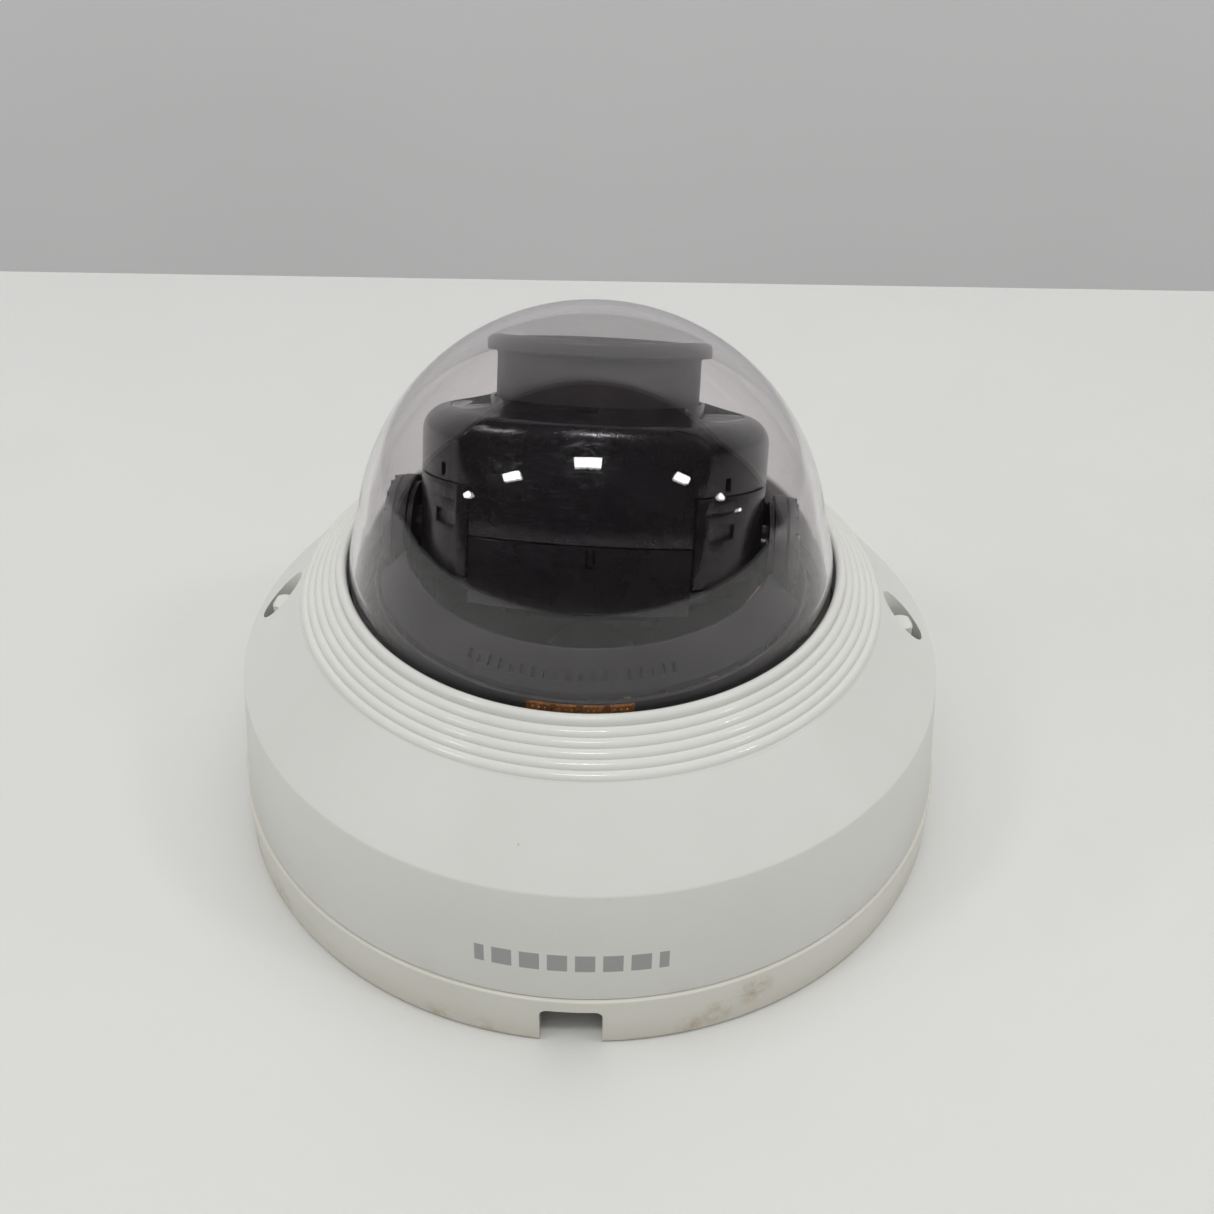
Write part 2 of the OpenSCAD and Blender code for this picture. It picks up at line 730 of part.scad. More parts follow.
// A wedge of angle half to each side of the +X and -X directions
module cheek_wedge(half, w0, w1) {
  reach = 60;
  for (s = [0, 180]) rotate([0, 0, s]) translate([0, 0, w0])
    linear_extrude(w1 - w0) polygon([
      [0, 0], [reach * cos(half), -reach * sin(half)], [reach, 0],
      [reach * cos(half), reach * sin(half)]
    ]);
}

// A curved slot's outline with round ends, from radius r0 to r1 and arc degrees long
module window_sector(side, r0, r1, arc, h) {
  middle = -90 + side * window_mid;
  end_r = (r1 - r0) / 2;
  mid_r = (r0 + r1) / 2;
  half = arc / 2 - asin(end_r / mid_r);
  function end(a, from) = [for (k = [1 : 8])
    polar(mid_r, a, 0) + polar(end_r, a + from + 20 * k, 0)];
  outline = concat(
    [for (k = [0 : 16]) polar(r1, middle - half + k * half / 8, 0)],
    end(middle + half, 0),
    [for (k = [0 : 16]) polar(r0, middle + half - k * half / 8, 0)],
    end(middle - half, 180));
  linear_extrude(h) polygon([for (p = outline) [p[0], p[1]]]);
}

module module_front_cover() {
  color(dark_plastic) module_frame() difference() {
    module_body(0, seam_w + 0.15, rim_w, corner_r, face_rise);
    difference() {
      module_body(shell_t, seam_w - 1, rim_w - 2, corner_r - 1);
      translate([0, 0, seam_w - 2]) cylinder(r = neck_clear_r + 1.3, h = 30);
    }
    translate([0, 0, seam_w - 2]) cylinder(r = neck_clear_r, h = 30);
    cheek_wedge(cheek_angle + 0.7, seam_w - 3, cheek_w1 + 0.35);
    for (side = [-1, 1]) {
      translate([0, 0, rim_w - window_inset])
        window_sector(side, window_r0 - 0.5, window_r1 + 0.2, window_arc - 1, 5);
      translate([0, 0, rim_w - 5]) window_sector(side, window_r0 + 0.6, window_r1 - 0.6, window_arc - 4, 9);
    }
    for (s = [-1, 1]) rotate([0, 0, -90 + s * 50]) translate([module_r - 1, -0.7, cheek_w1 + 0.9])
      cube([3, 1.4, 2.3]);
    translate([-1.7, -21.6, rim_w + 0.2]) cube([3.4, 1.7, 4]);
  }
}

module module_rear_housing() {
  color(dark_plastic) module_frame() difference() {
    union() {
      difference() {
        module_body(0, skirt_w, seam_w, 0);
        module_body(shell_t, rear_w + shell_t, seam_w + cut, 0);
        module_body(shell_t, skirt_w - cut, rear_w, 0);
        translate([-40, 0, skirt_w - cut]) cube([80, 40, rear_w - skirt_w + cut]);
        difference() {
          cheek_wedge(cheek_angle + 0.7, skirt_w - cut, seam_w + cut);
          translate([0, 0, skirt_w - 2 * cut]) cylinder(r = module_r - cheek_t - 0.3, h = 30);
        }
        translate([0, 0, rear_w - cut]) cylinder(r = 24.8, h = 5);
      }
      for (s = [-1, 1]) translate([-6, s * 23.95 - 1.65, rear_w]) cube([12, 3.3, 2]);
    }
    for (s = [-1, 1]) translate([0, s * tab_y, rear_w - cut]) cylinder(r = 1.1, h = 5, $fn = 32);
    // a small U-shaped latch slot under the seam at the front
    for (x = [1.25, 2.45]) translate([x, -front_y - 1, seam_w - 3.6]) cube([0.4, 1.6, 3.1]);
    translate([1.25, -front_y - 1, seam_w - 3.6]) cube([1.6, 1.6, 0.4]);
  }
}

// The U-shaped bracket: two side cheeks joined by a ring that carries the lens holder
module tilt_bracket() {
  color([0.17, 0.17, 0.18]) module_frame() difference() {
    union() {
      intersection() {
        translate([0, 0, cheek_w0]) ring(module_r, module_r - cheek_t, cheek_w1 - cheek_w0);
        cheek_wedge(cheek_angle, cheek_w0 - cut, cheek_w1 + cut);
        module_body(0, cheek_w0 - cut, cheek_w1 + cut, 0);
      }
      for (s = [0, 1]) mirror([s, 0, 0]) {
        translate([module_r - 1.2, 0, 0]) rotate([0, 90, 0])
          cylinder(r = tilt_shaft_r, h = arm_x1 + 0.4 - module_r + 1.2);
        translate([bridge_bore_r + 2, -9, bridge_w]) cube([8, 18, bridge_t]);
        intersection() {
          translate([0, 0, bridge_w]) ring(module_r - 0.4, module_r - 1.8, cheek_w0 - bridge_w + 1);
          translate([20, -9, bridge_w - cut]) cube([20, 18, 10]);
        }
      }
      translate([0, 0, bridge_w]) cylinder(r = 25, h = bridge_t);
    }
    translate([0, 0, bridge_w - cut]) cylinder(r = bridge_bore_r, h = 4);
    for (s = [-1, 1]) translate([0, s * tab_y, bridge_w - cut]) cylinder(r = 0.95, h = 5, $fn = 32);
    for (s = [-1, 1]) rotate([0, 0, -90 + s * 49]) translate([module_r - 0.6, -3, 4.6])
      cube([3, 6, 2.6]);
  }
}

module tilt_knobs() {
  color(black_plastic) module_frame() for (s = [0, 1]) mirror([s, 0, 0])
    translate([arm_x1 + 0.4, 0, 0]) rotate([0, 90, 0]) difference() {
      union() {
        cylinder(r = knob_r, h = 1.2);
        cylinder(r = knob_r - 1, h = knob_x1 - arm_x1 - 0.4);
      }
      translate([0, 0, knob_x1 - arm_x1 - 1.2]) cylinder(r = 3, h = 5, $fn = 6);
    }
}

module ir_window(side) {
  seat = rim_w - window_inset;
  color([0.10, 0.04, 0.05]) module_frame() union() {
    translate([0, 0, seat - window_t])
      window_sector(side, window_r0 + 0.7, window_r1 - 0.7, window_arc - 4.5, window_t + eps);
    translate([0, 0, seat])
      window_sector(side, window_r0 - 0.4, window_r1 + 0.1, window_arc - 2, window_inset - 0.07);
  }
}

module ir_window_left() ir_window(-1);
module ir_window_right() ir_window(1);

module ir_led_board() {
  color([0.85, 0.85, 0.82]) module_frame() translate([0, 0, led_board_w]) difference() {
    ring(26.2, neck_clear_r + 1.5, 1.2);
    for (s = [-1, 1]) translate([0, s * 23, -cut]) cylinder(r = 1.2, h = 5, $fn = 32);
    translate([-40, 24.6, -cut]) cube([80, 10, 5]);
    translate([-40, -34.6, -cut]) cube([80, 10, 5]);
  }
}

module ir_emitters() {
  color([0.80, 0.78, 0.70]) module_frame() for (side = [-1, 1]) for (i = [0 : emitters - 1])
    rotate([0, 0, -90 + side * window_mid + (i - (emitters - 1) / 2) * 13])
      translate([22.5, 0, led_board_w + 1.2]) union() {
        translate([-1.7, -1.7, 0]) cube([3.4, 3.4, 0.9]);
        translate([0, 0, 0.8]) cylinder(r = 1.3, h = 0.5, $fn = 48);
      }
}

module module_screws() {
  color(zinc) module_frame() for (s = [-1, 1])
    translate([0, s * tab_y, rear_w + 2]) screw(1.5, 1.1, 0.9, 3.8, 0.8);
}

// ---- rotate: lens, hood and sensor ----

module lens_holder() {
  color(black_plastic) module_frame() difference() {
    union() {
      translate([0, 0, bridge_w - 2.1]) cylinder(r = 22, h = 2);
      translate([0, 0, bridge_w - 0.2]) cylinder(r = holder_r, h = bridge_t + 0.35);
      translate([0, 0, bridge_w + bridge_t + 0.1]) cylinder(r = 21.8, h = 1.6);
      translate([0, 0, bridge_w + bridge_t + 1]) cylinder(r = 15.6, h = 8);
    }
    translate([0, 0, bridge_w - 5]) cylinder(r = 13.05, h = 30);
  }
}

module lens_hood() {
  lip = 0.6;
  color(soft_rubber) module_frame() rotate_extrude($fn = 180) difference() {
    union() {
      translate([0, 21.2]) square([neck_r, hood_w - 21.2 - lip]);
      translate([0, hood_w - 2.6]) square([flange_r, 2.6 - lip]);
      translate([flange_r - lip, hood_w - lip]) circle(r = lip, $fn = 32);
      translate([0, hood_w - lip]) square([flange_r - lip, lip]);
    }
    polygon([
      [0, 21], [15.6, 21], [15.6, 27.5], [16.2, 30.5], [17.6, hood_w + cut], [0, hood_w + cut]
    ]);
  }
}

module lens_barrel() {
  color([0.10, 0.10, 0.11]) module_frame() rotate_extrude($fn = 120) difference() {
    union() {
      translate([0, -9.6]) square([13, 14.6]);
      translate([0, 4.9]) square([12.2, 9]);
      translate([0, 13.8]) square([15.55, 14.4]);
    }
    polygon([
      [0, -11], [8.5, -11], [8.5, -1.5], [6.5, -1.5], [6.5, 2.5], [8.5, 2.5], [8.5, 15],
      [10.4, 19.6], [10.4, 24.2], [12.6, 29], [0, 29]
    ]);
  }
}

module front_lens_element() {
  color([0.30, 0.26, 0.40, 0.6]) module_frame() intersection() {
    translate([0, 0, 19.8]) cylinder(r = 10.35, h = 8);
    translate([0, 0, 12.6]) sphere(r = 14.2, $fn = 120);
  }
}

module rear_lens_element() {
  color([0.40, 0.42, 0.50, 0.6]) module_frame() intersection() {
    translate([0, 0, 2.6]) cylinder(r = 8.4, h = 5);
    translate([0, 0, -3.5]) sphere(r = 10.6, $fn = 120);
  }
}

module focus_motor() {
  color(zinc) module_frame() rotate([0, 0, 45]) translate([18.6, 0, bridge_w + bridge_t + 1.7])
    union() {
      cylinder(r = 2.8, h = 6.4, $fn = 48);
      translate([0, 0, 6.3]) cylinder(r = 0.7, h = 0.9, $fn = 32);
    }
}

module sensor_board() {
  color(board_green) module_frame() translate([0, 0, bridge_w - 3.7]) difference() {
    round_box([28, 28, 1.6], 2);
    for (x = [-11.5, 11.5]) for (y = [-11.5, 11.5])
      translate([x, y, -cut]) cylinder(r = 1.1, h = 5, $fn = 32);
  }
}

module image_sensor() {
  color(chip_black) module_frame() translate([0, 0, bridge_w - 2.1]) union() {
    translate([-6, -5, 0]) cube([12, 10, 1.1]);
    translate([-3.6, -2.5, 1]) cube([7.2, 5, 0.3]);
  }
}

module sensor_screws() {
  color(zinc) module_frame() for (x = [-11.5, 11.5]) for (y = [-11.5, 11.5])
    translate([x, y, bridge_w - 3.7]) mirror([0, 0, 1]) screw(1.9, 1.2, 1.0, 1.5, 0.9);
}

base_housing();
base_seal();
cable_grommet();
top_cover();
cover_screws();
cover_screw_seals();
dome_bubble();
dome_gasket();
dome_retainer_ring();
retainer_screws();
inner_liner();
liner_screws();
contact_strip();
chassis_plate();
chassis_screws();
main_board();
board_standoffs();
board_screws();
processor_chip();
thermal_pad();
heat_sink();
memory_chips();
board_capacitors();
network_jack();
power_terminal();
card_socket();
reset_switch();
reset_button();
pan_bearing_ring();
pan_turret();
pan_shroud();
pan_retaining_ring();
pan_ring_screws();
tilt_bushings();
camera_harness();
wire_clip();
tilt_bracket();
tilt_knobs();
module_front_cover();
module_rear_housing();
ir_window_left();
ir_window_right();
ir_led_board();
ir_emitters();
module_screws();
lens_holder();
lens_hood();
lens_barrel();
front_lens_element();
rear_lens_element();
focus_motor();
sensor_board();
image_sensor();
sensor_screws();
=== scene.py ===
import json
import math

import bmesh
import bpy
from mathutils import Matrix, Vector


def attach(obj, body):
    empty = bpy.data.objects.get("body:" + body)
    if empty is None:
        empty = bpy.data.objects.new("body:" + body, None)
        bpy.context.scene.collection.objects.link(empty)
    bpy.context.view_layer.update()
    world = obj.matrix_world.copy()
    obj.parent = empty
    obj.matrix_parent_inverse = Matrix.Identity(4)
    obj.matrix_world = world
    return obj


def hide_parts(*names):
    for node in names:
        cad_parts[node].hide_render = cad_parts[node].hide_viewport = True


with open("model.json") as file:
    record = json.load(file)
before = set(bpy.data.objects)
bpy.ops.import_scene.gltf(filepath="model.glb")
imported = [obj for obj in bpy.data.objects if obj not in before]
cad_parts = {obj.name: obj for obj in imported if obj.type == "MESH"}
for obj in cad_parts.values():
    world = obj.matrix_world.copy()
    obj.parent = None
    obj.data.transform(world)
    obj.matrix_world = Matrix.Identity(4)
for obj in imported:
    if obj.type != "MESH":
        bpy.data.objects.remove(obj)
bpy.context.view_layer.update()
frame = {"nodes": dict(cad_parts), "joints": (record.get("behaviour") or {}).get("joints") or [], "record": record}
nodes = frame["nodes"]
MM = 0.001
PIVOT = Vector(frame["joints"][1]["pos_m"])
PAN = math.radians(-3)
TILT = math.radians(24)
MODULE = Matrix.Translation(PIVOT) @ Matrix.Rotation(PAN, 4, "Z") @ Matrix.Rotation(-TILT, 4, "X")
PAN_FRAME = Matrix.Rotation(PAN, 4, "Z")
SCREW_X = 59          # distance of a cover screw from the axis
MOUNT_HOLES = [(57 * math.cos(math.radians(a)), 57 * math.sin(math.radians(a)), 0)
               for a in (45, 135, 225, 315)]
POST = 34             # the chassis posts stand at plus and minus this on X and Y
# heights along the lens's axis from the pivot: the drum's seam, its rim, its face next to the
# hood, and the top of the side cheeks
SEAM, RIM, FACE, CHEEK_TOP = 3.3, 23.3, 25.3, 11.8


# ---------------------------------------------------------------- meshes

def new_object(name, mesh):
    """An object in the scene for a mesh."""
    obj = bpy.data.objects.new(name, mesh)
    bpy.context.scene.collection.objects.link(obj)
    return obj


def finished(name, bm, smooth=40, matrix=None):
    """A mesh object in metres from a bmesh in millimetres, smooth but for edges over the angle."""
    bmesh.ops.recalc_face_normals(bm, faces=bm.faces)
    mesh = bpy.data.meshes.new(name)
    bm.transform(Matrix.Scale(MM, 4))
    if matrix is not None:
        bm.transform(matrix)
    bm.to_mesh(mesh)
    bm.free()
    shade(mesh, smooth)
    return new_object(name, mesh)


def shade(mesh, smooth=40):
    mesh.shade_smooth()
    mesh.set_sharp_from_angle(angle=math.radians(smooth))


def lathe(profile, segments=240, closed=True, start=0.0, sweep=360.0):
    """A bmesh of a profile of (r, z) points turned about Z. A point on the axis makes a pole."""
    bm = bmesh.new()
    whole = sweep >= 360
    count = segments if whole else segments + 1
    rings = []
    for r, z in profile:
        if r < 1e-6:
            rings.append([bm.verts.new((0, 0, z))] * count)
            continue
        ring = []
        for i in range(count):
            a = math.radians(start + sweep * i / segments)
            ring.append(bm.verts.new((r * math.cos(a), r * math.sin(a), z)))
        rings.append(ring)
    pairs = list(zip(rings, rings[1:]))
    if closed:
        pairs.append((rings[-1], rings[0]))
    for a, b in pairs:
        for i in range(segments):
            j = (i + 1) % count
            corners = []
            for v in (a[i], a[j], b[j], b[i]):
                if v not in corners:
                    corners.append(v)
            if len(corners) > 2:
                bm.faces.new(corners)
    if not whole and closed:
        bm.faces.new([r[0] for r in rings])
        bm.faces.new([r[-1] for r in rings])
    return bm


def arc(cx, cz, r, a0, a1, steps):
    """Points of a circular arc in a profile, from angle a0 to a1 in degrees."""
    return [(cx + r * math.cos(math.radians(a0 + (a1 - a0) * i / steps)),
             cz + r * math.sin(math.radians(a0 + (a1 - a0) * i / steps))) for i in range(steps + 1)]


def rounded(points, steps=5):
    """A closed profile whose corners are rounded: points are (r, z, radius)."""
    out = []
    n = len(points)
    for i in range(n):
        p, q, s = Vector(points[i - 1][:2]), Vector(points[i][:2]), Vector(points[(i + 1) % n][:2])
        radius = points[i][2] if len(points[i]) > 2 else 0
        u, v = (p - q), (s - q)
        if radius <= 0 or u.length < 1e-9 or v.length < 1e-9:
            out.append((q.x, q.y))
            continue
        u.normalize(), v.normalize()
        angle = u.angle(v)
        if angle > math.radians(177):
            out.append((q.x, q.y))
            continue
        reach = radius / math.tan(angle / 2)
        a, b = q + u * reach, q + v * reach
        centre = q + (u + v).normalized() * (radius / math.sin(angle / 2))
        start = math.atan2(a.y - centre.y, a.x - centre.x)
        end = math.atan2(b.y - centre.y, b.x - centre.x)
        turn = (end - start + math.pi) % (2 * math.pi) - math.pi
        for k in range(steps + 1):
            t = start + turn * k / steps
            out.append((centre.x + radius * math.cos(t), centre.y + radius * math.sin(t)))
    return out


def add_cylinder(bm, centre, r, z0, z1, segments=48, r_top=None, axis="Z", bevel=0.0):
    """A closed cylinder added to bm, along Z, X or Y from z0 to z1, with rounded rims."""
    r_top = r if r_top is None else r_top
    if bevel:
        profile = [(0, z0)] + arc(r - bevel, z0 + bevel, bevel, -90, 0, 3)
        profile += arc(r_top - bevel, z1 - bevel, bevel, 0, 90, 3) + [(0, z1)]
    else:
        profile = [(0, z0), (r, z0), (r_top, z1), (0, z1)]
    part = lathe(profile, segments, closed=False)
    turn = {"Z": Matrix.Identity(4), "X": Matrix.Rotation(math.pi / 2, 4, "Y"),
            "Y": Matrix.Rotation(-math.pi / 2, 4, "X")}[axis]
    part.transform(Matrix.Translation(Vector(centre)) @ turn)
    merge(bm, part)


def add_block(bm, low, high, bevel=0.0, segments=2, matrix=None):
    """A closed block from low to high with rounded edges, added to bm."""
    part = bmesh.new()
    bmesh.ops.create_cube(part, size=1)
    size = Vector(high) - Vector(low)
    middle = (Vector(high) + Vector(low)) / 2
    part.transform(Matrix.Translation(middle) @ Matrix.Diagonal((*size, 1)))
    if bevel:
        bmesh.ops.bevel(part, geom=part.edges[:], offset=bevel, segments=segments, profile=0.5,
                        affect="EDGES")
    if matrix is not None:
        part.transform(matrix)
    merge(bm, part)


def merge(bm, part):
    """Moves part's mesh into bm."""
    mesh = bpy.data.meshes.new("part")
    part.to_mesh(mesh)
    part.free()
    bm.from_mesh(mesh)
    bpy.data.meshes.remove(mesh)


def boolean(obj, tool, operation="DIFFERENCE", smooth=35):
    """Cuts, joins or trims obj with another object or a bmesh in millimetres, which is dropped."""
    cutter = tool if isinstance(tool, bpy.types.Object) else finished("cutter", tool)
    modifier = obj.modifiers.new("cut", "BOOLEAN")
    modifier.operation = operation
    modifier.solver = "MANIFOLD"
    modifier.object = cutter
    apply_modifiers(obj)
    bpy.data.objects.remove(cutter)
    shade(obj.data, smooth)


def apply_modifiers(obj):
    """Replaces obj's mesh with the one its modifiers make."""
    bpy.context.view_layer.update()
    mesh = bpy.data.meshes.new_from_object(
        obj.evaluated_get(bpy.context.evaluated_depsgraph_get()))
    obj.modifiers.clear()
    old = obj.data
    obj.data = mesh
    bpy.data.meshes.remove(old)


# ---------------------------------------------------------------- materials

class Nodes:
    """A short way to write a node tree in code."""

    def __init__(self, name):
        self.material = bpy.data.materials.new(name)
        self.material.use_nodes = True
        self.tree = self.material.node_tree
        self.tree.nodes.clear()
        self.shader = self.add("ShaderNodeBsdfPrincipled")
        self.output = self.add("ShaderNodeOutputMaterial")
        self.link(self.shader.outputs[0], self.output.inputs[0])
        self.place = self.add("ShaderNodeTexCoord").outputs["Object"]

    def add(self, kind, **settings):
        node = self.tree.nodes.new(kind)
        for key, value in settings.items():
            setattr(node, key, value)
        return node

    def link(self, a, b):
        self.tree.links.new(a, b)

    def put(self, socket, value):
        if isinstance(value, bpy.types.NodeSocket):
            self.link(value, socket)
        elif isinstance(value, tuple | list) and len(value) == 3 and len(socket.default_value) == 4:
            socket.default_value = (*value, 1)
        else:
            socket.default_value = value

    def set(self, **values):
        for key, value in values.items():
            self.put(self.shader.inputs[key.replace("_", " ")], value)

    def noise(self, scale, detail=3, rough=0.5, distortion=0.0, place=None):
        n = self.add("ShaderNodeTexNoise")
        self.link(place or self.place, n.inputs["Vector"])
        for key, value in (("Scale", scale), ("Detail", detail), ("Roughness", rough),
                           ("Distortion", distortion)):
            n.inputs[key].default_value = value
        return n.outputs["Fac"]

    def voronoi(self, scale, feature="F1", output="Distance", place=None):
        n = self.add("ShaderNodeTexVoronoi", feature=feature)
        self.link(place or self.place, n.inputs["Vector"])
        n.inputs["Scale"].default_value = scale
        return n.outputs[output]

    def stretched(self, x, y, z, turn=(0, 0, 0), move=(0, 0, 0)):
        n = self.add("ShaderNodeMapping")
        self.link(self.place, n.inputs["Vector"])
        n.inputs["Scale"].default_value = (x, y, z)
        n.inputs["Rotation"].default_value = turn
        n.inputs["Location"].default_value = move
        return n.outputs[0]

    def math(self, operation, a, b=0.0, clamp=False):
        n = self.add("ShaderNodeMath", operation=operation, use_clamp=clamp)
        self.put(n.inputs[0], a)
        self.put(n.inputs[1], b)
        return n.outputs[0]

    def remap(self, value, low, high, to_low=0.0, to_high=1.0):
        n = self.add("ShaderNodeMapRange", clamp=True)
        for i, v in enumerate((value, low, high, to_low, to_high)):
            self.put(n.inputs[i], v)
        return n.outputs[0]

    def mix(self, factor, a, b, blend="MIX"):
        n = self.add("ShaderNodeMix", data_type="RGBA", blend_type=blend)
        self.put(n.inputs[0], factor)
        self.put(n.inputs[6], a)
        self.put(n.inputs[7], b)
        return n.outputs[2]

    def axis(self, which, place=None):
        n = self.add("ShaderNodeSeparateXYZ")
        self.link(place or self.place, n.inputs[0])
        return n.outputs[which]

    def near(self, point, reach, soft=0.3):
        """1 close to a point, 0 outside reach, both in millimetres, with a soft edge."""
        n = self.add("ShaderNodeVectorMath", operation="DISTANCE")
        self.link(self.place, n.inputs[0])
        n.inputs[1].default_value = [c * MM for c in point]
        return self.remap(n.outputs["Value"], reach * MM, reach * soft * MM)

    def most(self, values):
        out = values[0]
        for v in values[1:]:
            out = self.math("MAXIMUM", out, v)
        return out

    def bump(self, height, distance, strength=1.0, normal=None):
        n = self.add("ShaderNodeBump")
        n.inputs["Strength"].default_value = strength
        n.inputs["Distance"].default_value = distance
        self.put(n.inputs["Height"], height)
        if normal is not None:
            self.link(normal, n.inputs["Normal"])
        return n.outputs[0]


def moulded(name, colour, rough, grain=3200, depth=0.00002, tone=0.12, spec=0.5, coat=0.0):
    """Moulded plastic or rubber: fine grain, slightly uneven colour and gloss, and some dust."""
    m = Nodes(name)
    blotch = m.noise(140, 4, 0.6)
    dust = m.remap(m.noise(2600, 2, 0.7), 0.62, 0.8, 0, 0.16)
    dark = [c * (1 - tone) for c in colour]
    light = [min(1, c * (1 + tone) + 0.004) for c in colour]
    base = m.mix(m.remap(blotch, 0.3, 0.7), dark, light)
    base = m.mix(dust, base, [min(1, c * 0.6 + 0.16) for c in colour])
    m.set(Base_Color=base, Specular_IOR_Level=spec,
          Roughness=m.remap(m.noise(420, 3), 0.25, 0.75, rough * 0.85, min(1, rough * 1.18)))
    if coat:
        m.set(Coat_Weight=coat, Coat_Roughness=0.08)
    m.set(Normal=m.bump(m.noise(grain, 2, 0.6), depth))
    return m.material


def metal(name, colour, rough, lines=(4000, 300, 300), tone=0.1, stain=(0.2, 0.16, 0.12)):
    """Bare metal with drawn lines, uneven shine and a little staining."""
    m = Nodes(name)
    drawn = m.noise(1, 3, 0.6, place=m.stretched(*lines))
    base = m.mix(m.remap(m.noise(260, 4), 0.3, 0.75), [c * (1 - tone) for c in colour],
                 [min(1, c * (1 + tone)) for c in colour])
    base = m.mix(m.remap(m.noise(520, 5, 0.7), 0.6, 0.85, 0, 0.35), base, stain)
    m.set(Base_Color=base, Metallic=1.0,
          Roughness=m.remap(drawn, 0.3, 0.7, rough * 0.75, min(1, rough * 1.35)),
          Normal=m.bump(drawn, 0.000012))
    return m.material


def cover_paint():
    """Warm white powder paint: glossier on the ribs, scuffed at the shoulder, with small marks, and painted shade
    darkening the lower wall.
    """
    m = Nodes("cover_paint")
    height = m.axis(2)
    base = m.mix(m.remap(m.noise(26, 4, 0.6), 0.3, 0.7), (0.70, 0.70, 0.665), (0.735, 0.735, 0.70))
    # painted shade: the wall is painted darker from the shoulder down to the base
    low = m.remap(height, 0.034, 0.0115)
    base = m.mix(m.math("MULTIPLY", low, 0.35), base, (0.66, 0.645, 0.59))
    grime = m.math("MULTIPLY", m.remap(m.noise(90, 5, 0.65), 0.56, 0.8),
                   m.remap(height, 0.017, 0.0112))
    base = m.mix(m.math("MULTIPLY", grime, 0.35), base, (0.42, 0.36, 0.26))
    # fine scuffs that run along the shoulder
    band = m.math("MULTIPLY", m.remap(height, 0.0318, 0.0336), m.remap(height, 0.0362, 0.0344))
    scuff = m.remap(m.noise(1, 4, 0.7, place=m.stretched(620, 620, 5200)), 0.66, 0.74)
    scuff = m.math("MULTIPLY", m.math("MULTIPLY", scuff, band), m.remap(m.noise(38, 2), 0.5, 0.62))
    marks = m.most([m.near(p, r) for p, r in (
        ((-43.7, 18.5, 50.9), 0.55), ((31.5, -48.5, 41.8), 0.4), ((-8.6, -60.2, 39.6), 0.35),
        ((45.2, -42.9, 36.4), 0.5), ((-52.6, -36.1, 32.4), 0.5), ((57.6, -20.8, 38.1), 0.35))])
    marks = m.math("MULTIPLY", marks, m.remap(m.noise(3400, 2), 0.42, 0.6))
    base = m.mix(m.math("MULTIPLY", m.most([scuff, marks]), 0.75), base, (0.24, 0.22, 0.20))
    # a plain mark on the front: a row of grey squares
    across, front = m.axis(0), m.remap(m.axis(1), -0.05, -0.055)
    band = m.math("MULTIPLY", m.remap(height, 0.0176, 0.01765), m.remap(height, 0.0212, 0.02115))
    inside = m.remap(m.math("ABSOLUTE", across), 0.0161, 0.016)
    tiles = m.remap(m.math("PINGPONG", across, 0.0023), 0.00062, 0.00066)
    mark = m.math("MULTIPLY", m.math("MULTIPLY", band, inside), m.math("MULTIPLY", tiles, front))
    base = m.mix(m.math("MULTIPLY", mark, 0.8), base, (0.24, 0.24, 0.24))
    ribs = m.remap(height, 0.0468, 0.0478)
    rough = m.math("ADD", m.remap(ribs, 0, 1, 0.34, 0.12),
                   m.remap(m.noise(70, 3), 0.3, 0.7, -0.03, 0.05))
    m.set(Base_Color=base, Roughness=m.math("ADD", rough, m.math("MULTIPLY", scuff, 0.3)),
          Specular_IOR_Level=0.5)
    peel = m.bump(m.noise(950, 2, 0.5), 0.000022, 0.7)
    m.set(Normal=m.bump(m.noise(6500, 1), 0.000006, 0.6, peel))
    return m.material


def base_paint():
    """Ivory moulded plastic with painted shade: darker towards the table, a painted shadow line along the bottom
    edge, and brown smeared patches on the outer wall.
    """
    m = Nodes("base_paint")
    height = m.axis(2)
    base = m.mix(m.remap(m.noise(30, 4, 0.6), 0.3, 0.7), (0.655, 0.64, 0.575), (0.70, 0.685, 0.625))
    # painted shade: darker and warmer towards the table
    base = m.mix(m.math("MULTIPLY", m.remap(height, 0.0065, 0.0), 0.55), base, (0.56, 0.525, 0.44))
    smears_and_shadow = m.most([m.near(p, r, 0.1) for p, r in (
        ((-23.0, -64.6, 1.2), 3.6), ((-14.6, -67.0, 0.9), 3.4), ((20.4, -65.4, 2.2), 3.4),
        ((24.6, -64.0, 4.0), 4.0), ((31.0, -61.2, 6.8), 4.6), ((-55.5, -40.3, 2.2), 5.0),
        ((-61.6, -30.2, 3.0), 5.0))])
    # painted shadow: a dark line along the bottom edge where the base meets the table, mixed in with the smeared
    # patches
    edge = m.math("MULTIPLY", m.remap(height, 0.0016, 0.0002), m.remap(m.noise(70, 3), 0.42, 0.6))
    smears_and_shadow = m.most([smears_and_shadow, m.math("MULTIPLY", edge, 0.8)])
    smears_and_shadow = m.math("MULTIPLY", smears_and_shadow, m.remap(m.noise(330, 5, 0.7), 0.4, 0.68))
    base = m.mix(m.math("MULTIPLY", smears_and_shadow, 0.8), base, (0.36, 0.25, 0.13))
    m.set(Base_Color=base, Roughness=m.remap(m.noise(110, 4), 0.3, 0.7, 0.36, 0.5),
          Subsurface_Weight=0.06, Subsurface_Scale=0.001,
          Normal=m.bump(m.noise(2100, 2), 0.00002, 0.6))
    return m.material


